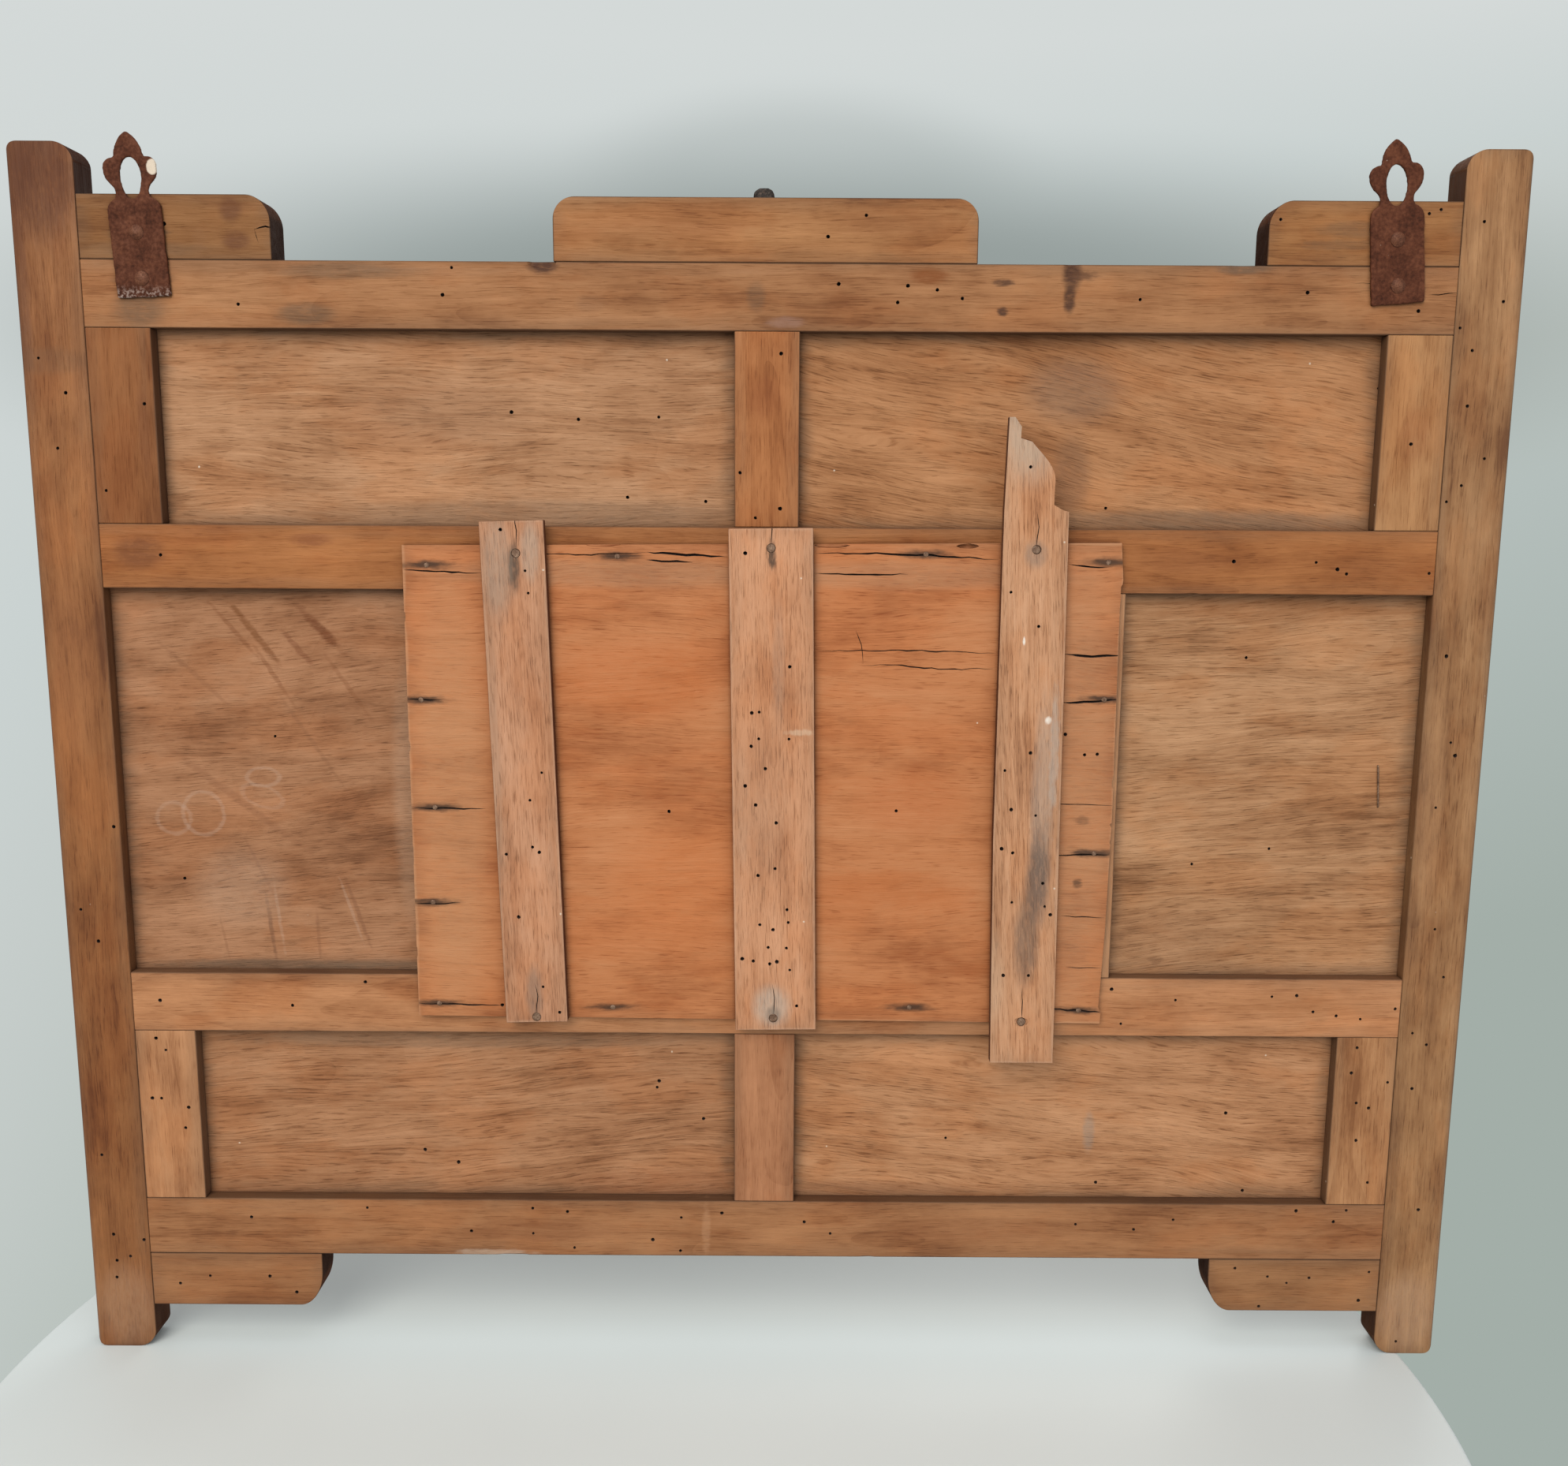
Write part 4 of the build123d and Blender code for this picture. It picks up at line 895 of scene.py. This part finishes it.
def forged(name, node, material, skin=None, dent=None):
    shape = weldedCopy(node)
    body = bpy.data.meshes.new(name)
    shape.to_mesh(body)
    shape.free()
    body.materials.clear()
    body.materials.append(material)
    piece = asPiece(name, body, [node])
    fine = piece.modifiers.new("skin", "REMESH")
    fine.mode, fine.voxel_size = "VOXEL", (skin or forging["skin"]) * mm
    bpy.context.view_layer.update()
    result = bpy.data.meshes.new_from_object(piece.evaluated_get(bpy.context.evaluated_depsgraph_get()))
    piece.modifiers.clear()
    result.materials.clear()
    result.materials.append(material)
    shape = bmesh.new()
    shape.from_mesh(result)
    for _ in range(2):
        bmesh.ops.smooth_vert(shape, verts=shape.verts, factor=0.5,
                              use_axis_x=True, use_axis_y=True, use_axis_z=True)
    shape.normal_update()
    size = dent or forging["dent"]
    for vert in shape.verts:
        place = vert.co / mm
        swell = noise.noise(place / forging["dentSize"]) * size + noise.noise(place / 1.6) * size * 0.35
        vert.co += vert.normal * (swell - size * 0.3) * mm
    for face in shape.faces:
        face.smooth = True
    shape.to_mesh(result)
    shape.free()
    piece.data = result
    return piece


eyes = {side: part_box(side + "_hanging_eye") for side in ("left", "right")}
leftLow, leftHigh = eyes["left"]
lobe = (leftHigh.x - 5.6 * mm, 5.5 * mm, 4.4)  # old white paint on one lobe
leftPlate = oldIron("rustedPlateLeft", "rustedPlate", [lobe], leftLow.z / mm)
rightPlate = oldIron("rustedPlateRight", "rustedPlate")
nailIron = oldIron("rubbedNailIron", "boardNail")
strapIron = oldIron("blackenedStrapIron", "blackenedStrap")
forged("left_eye_plate", "left_hanging_eye", leftPlate)
forged("right_eye_plate", "right_hanging_eye", rightPlate)
for side in ("left", "centre", "right"):
    forged(side + "_hook_strap", side + "_coat_hook", strapIron, 0.7, 0.4)
forged("hanger_nail_heads", "hanger_nails", oldIron("plateNailIron", "plateNail"), 0.25, 0.2)
forged("hook_nail_heads", "hook_nails", strapIron, 0.4, 0.3)
forged("board_nail_heads", "board_nails", nailIron, 0.22, 0.2)
forged("batten_nail_heads", "batten_nails", nailIron, 0.3, 0.35)
forged("staple_wire", "panel_staple", nailIron, 0.16, 0.06)
print("ironwork forged")

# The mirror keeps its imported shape; the hidden dowels too
silver = silveredGlass()
dowelWood = oldWood("turnedDowelWood", "planedFrame", "b08a60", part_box("block_dowels"), upright=True,
                    seed=131)
for node, finish in (("mirror_glass", silver), ("block_dowels", dowelWood)):
    mesh = cadNodes[node].data
    mesh.materials.clear()
    mesh.materials.append(finish)
print("mirror silvered")

# A round pale top to stand on, with a softly rounded edge
stand = {"centre": (-0.029, -0.033), "radius": 0.410, "thick": 0.022, "round": 0.003, "colour": "d1d8d7"}


def paleTop():
    material, tree = newMaterial("paleLaminate")  # smooth white laminate: matt, with the faintest mottling
    place = addNode(tree, "ShaderNodeTexCoord").outputs["Object"]
    mottle = addNode(tree, "ShaderNodeTexNoise", None, {"Vector": place, "Scale": 6.0, "Detail": 3.0})
    base = toLinear(stand["colour"])
    colour = ramped(tree, mottle.outputs[0], [(0.3, tinted(base, (0.97, 0.97, 0.97))), (0.7, base)])
    finish = addNode(tree, "ShaderNodeBsdfPrincipled", None,
                     {"Base Color": colour, "Roughness": 0.5, "IOR": 1.46, "Specular IOR Level": 0.3})
    addNode(tree, "ShaderNodeOutputMaterial", None, {0: finish.outputs[0]})
    shape = bmesh.new()
    bmesh.ops.create_cone(shape, cap_ends=True, segments=256, radius1=stand["radius"],
                          radius2=stand["radius"], depth=stand["thick"])
    rim = [e for e in shape.edges if len(e.link_faces) == 2 and e.calc_face_angle(0) > 1]
    bmesh.ops.bevel(shape, geom=rim, offset=stand["round"], segments=4, profile=0.5, affect="EDGES")
    mesh = bpy.data.meshes.new("paleTop")
    shape.to_mesh(mesh)
    shape.free()
    crispEdges(mesh, 40)
    mesh.materials.append(material)
    top = bpy.data.objects.new("paleTop", mesh)
    top.location = (*stand["centre"], cadBox[0].z - stand["thick"] / 2)
    bpy.context.scene.collection.objects.link(top)


paleTop()

# Soft daylight from the upper left behind the viewer, and a grey-blue room with painted shadows on its wall
lights = {
    "window": {"place": (-0.9, -2.3, 1.25), "size": 1.8, "power": 62, "colour": "fff9f0"},
    "overhead": {"place": (0.1, -0.9, 1.8), "size": 1.2, "power": 10, "colour": "f6f8ff"},
    "fill": {"place": (1.7, -1.7, -0.1), "size": 1.6, "power": 9, "colour": "f3f6ff"},
    "behind": {"place": (0.9, 2.3, 0.5), "size": 1.6, "power": 18, "colour": "fbf8f2"},
}
target = (cadBox[0] + cadBox[1]) / 2
for name, lamp in lights.items():
    data = bpy.data.lights.new(name, "AREA")
    data.size, data.energy, data.color = lamp["size"], lamp["power"], toLinear(lamp["colour"])[:3]
    made = bpy.data.objects.new(name, data)
    made.location = lamp["place"]
    made.rotation_mode = "QUATERNION"
    made.rotation_quaternion = (target - made.location).to_track_quat("-Z", "Y")
    bpy.context.scene.collection.objects.link(made)

room = bpy.data.worlds.new("paleRoom")
room.use_nodes = True
tree = room.node_tree
tree.nodes.clear()
sight = addNode(tree, "ShaderNodeTexCoord").outputs["Generated"]
sightParts = addNode(tree, "ShaderNodeSeparateXYZ", None, {0: sight}).outputs
# painted shadows of the board: the wall darkens downwards, more so to the right, and soft shadows lie above
# the board and crest
fade = calc(tree, "MULTIPLY", calc(tree, "SUBTRACT", 0.30, sightParts[2]),
            calc(tree, "MULTIPLY_ADD", sightParts[0], 1.5, 1.05))
wallStops = ((0.0, "d4d9d8"), (0.12, "cad2d1"), (0.18, "c6cdcb"), (0.33, "bac2bd"), (0.49, "b4bebb"),
             (0.97, "a3aea8"))
wallColour = ramped(tree, fade, [(at, toLinear(shade)) for at, shade in wallStops])
for height, wide, tall, strength in ((0.115, 0.56, 0.145, 1.0), (0.225, 0.17, 0.06, 0.3)):
    cast = addNode(tree, "ShaderNodeMapping", {"vector_type": "TEXTURE"},
                   {"Vector": sight, "Location": (0.01, 0.97, height), "Scale": (wide, 0.9, tall)}).outputs[0]
    castReach = addNode(tree, "ShaderNodeVectorMath", {"operation": "LENGTH"}, {0: cast}).outputs["Value"]
    shadow = within(tree, castReach, 0.45, 1.05, strength, 0.0)
    wallColour = blended(tree, shadow, wallColour, toLinear("969f9d"))
seen = addNode(tree, "ShaderNodeBackground", None, {0: wallColour, 1: 1.0})
lit = addNode(tree, "ShaderNodeBackground", None, {0: toLinear("eef1f2"), 1: 0.60})
sees = addNode(tree, "ShaderNodeLightPath").outputs["Is Camera Ray"]
both = addNode(tree, "ShaderNodeMixShader", None, {0: sees, 1: lit.outputs[0], 2: seen.outputs[0]})
addNode(tree, "ShaderNodeOutputWorld", None, {0: both.outputs[0]})
bpy.context.scene.world = room
bpy.context.scene.view_settings.view_transform = "Standard"
print("light and room ready")

# The camera: a wide phone lens held close, a little above the middle and tipped down
shot = {"place": (0.0094, -0.7558, -0.1717), "pitch": -9.026, "yaw": -0.015, "roll": 0.338, "lens": 31.59}
pitch, yaw = math.radians(shot["pitch"]), math.radians(shot["yaw"])
ahead = Vector((math.sin(yaw) * math.cos(pitch), math.cos(yaw) * math.cos(pitch), math.sin(pitch)))
lensData = bpy.data.cameras.new("camera")
lensData.sensor_width, lensData.lens = 36.0, shot["lens"]
camera = bpy.data.objects.new("camera", lensData)
camera.location = shot["place"]
camera.rotation_mode = "QUATERNION"
rolled = Quaternion((0, 0, 1), math.radians(shot["roll"]))
camera.rotation_quaternion = ahead.to_track_quat("-Z", "Y") @ rolled
bpy.context.scene.collection.objects.link(camera)
bpy.context.scene.camera = camera

print("done")
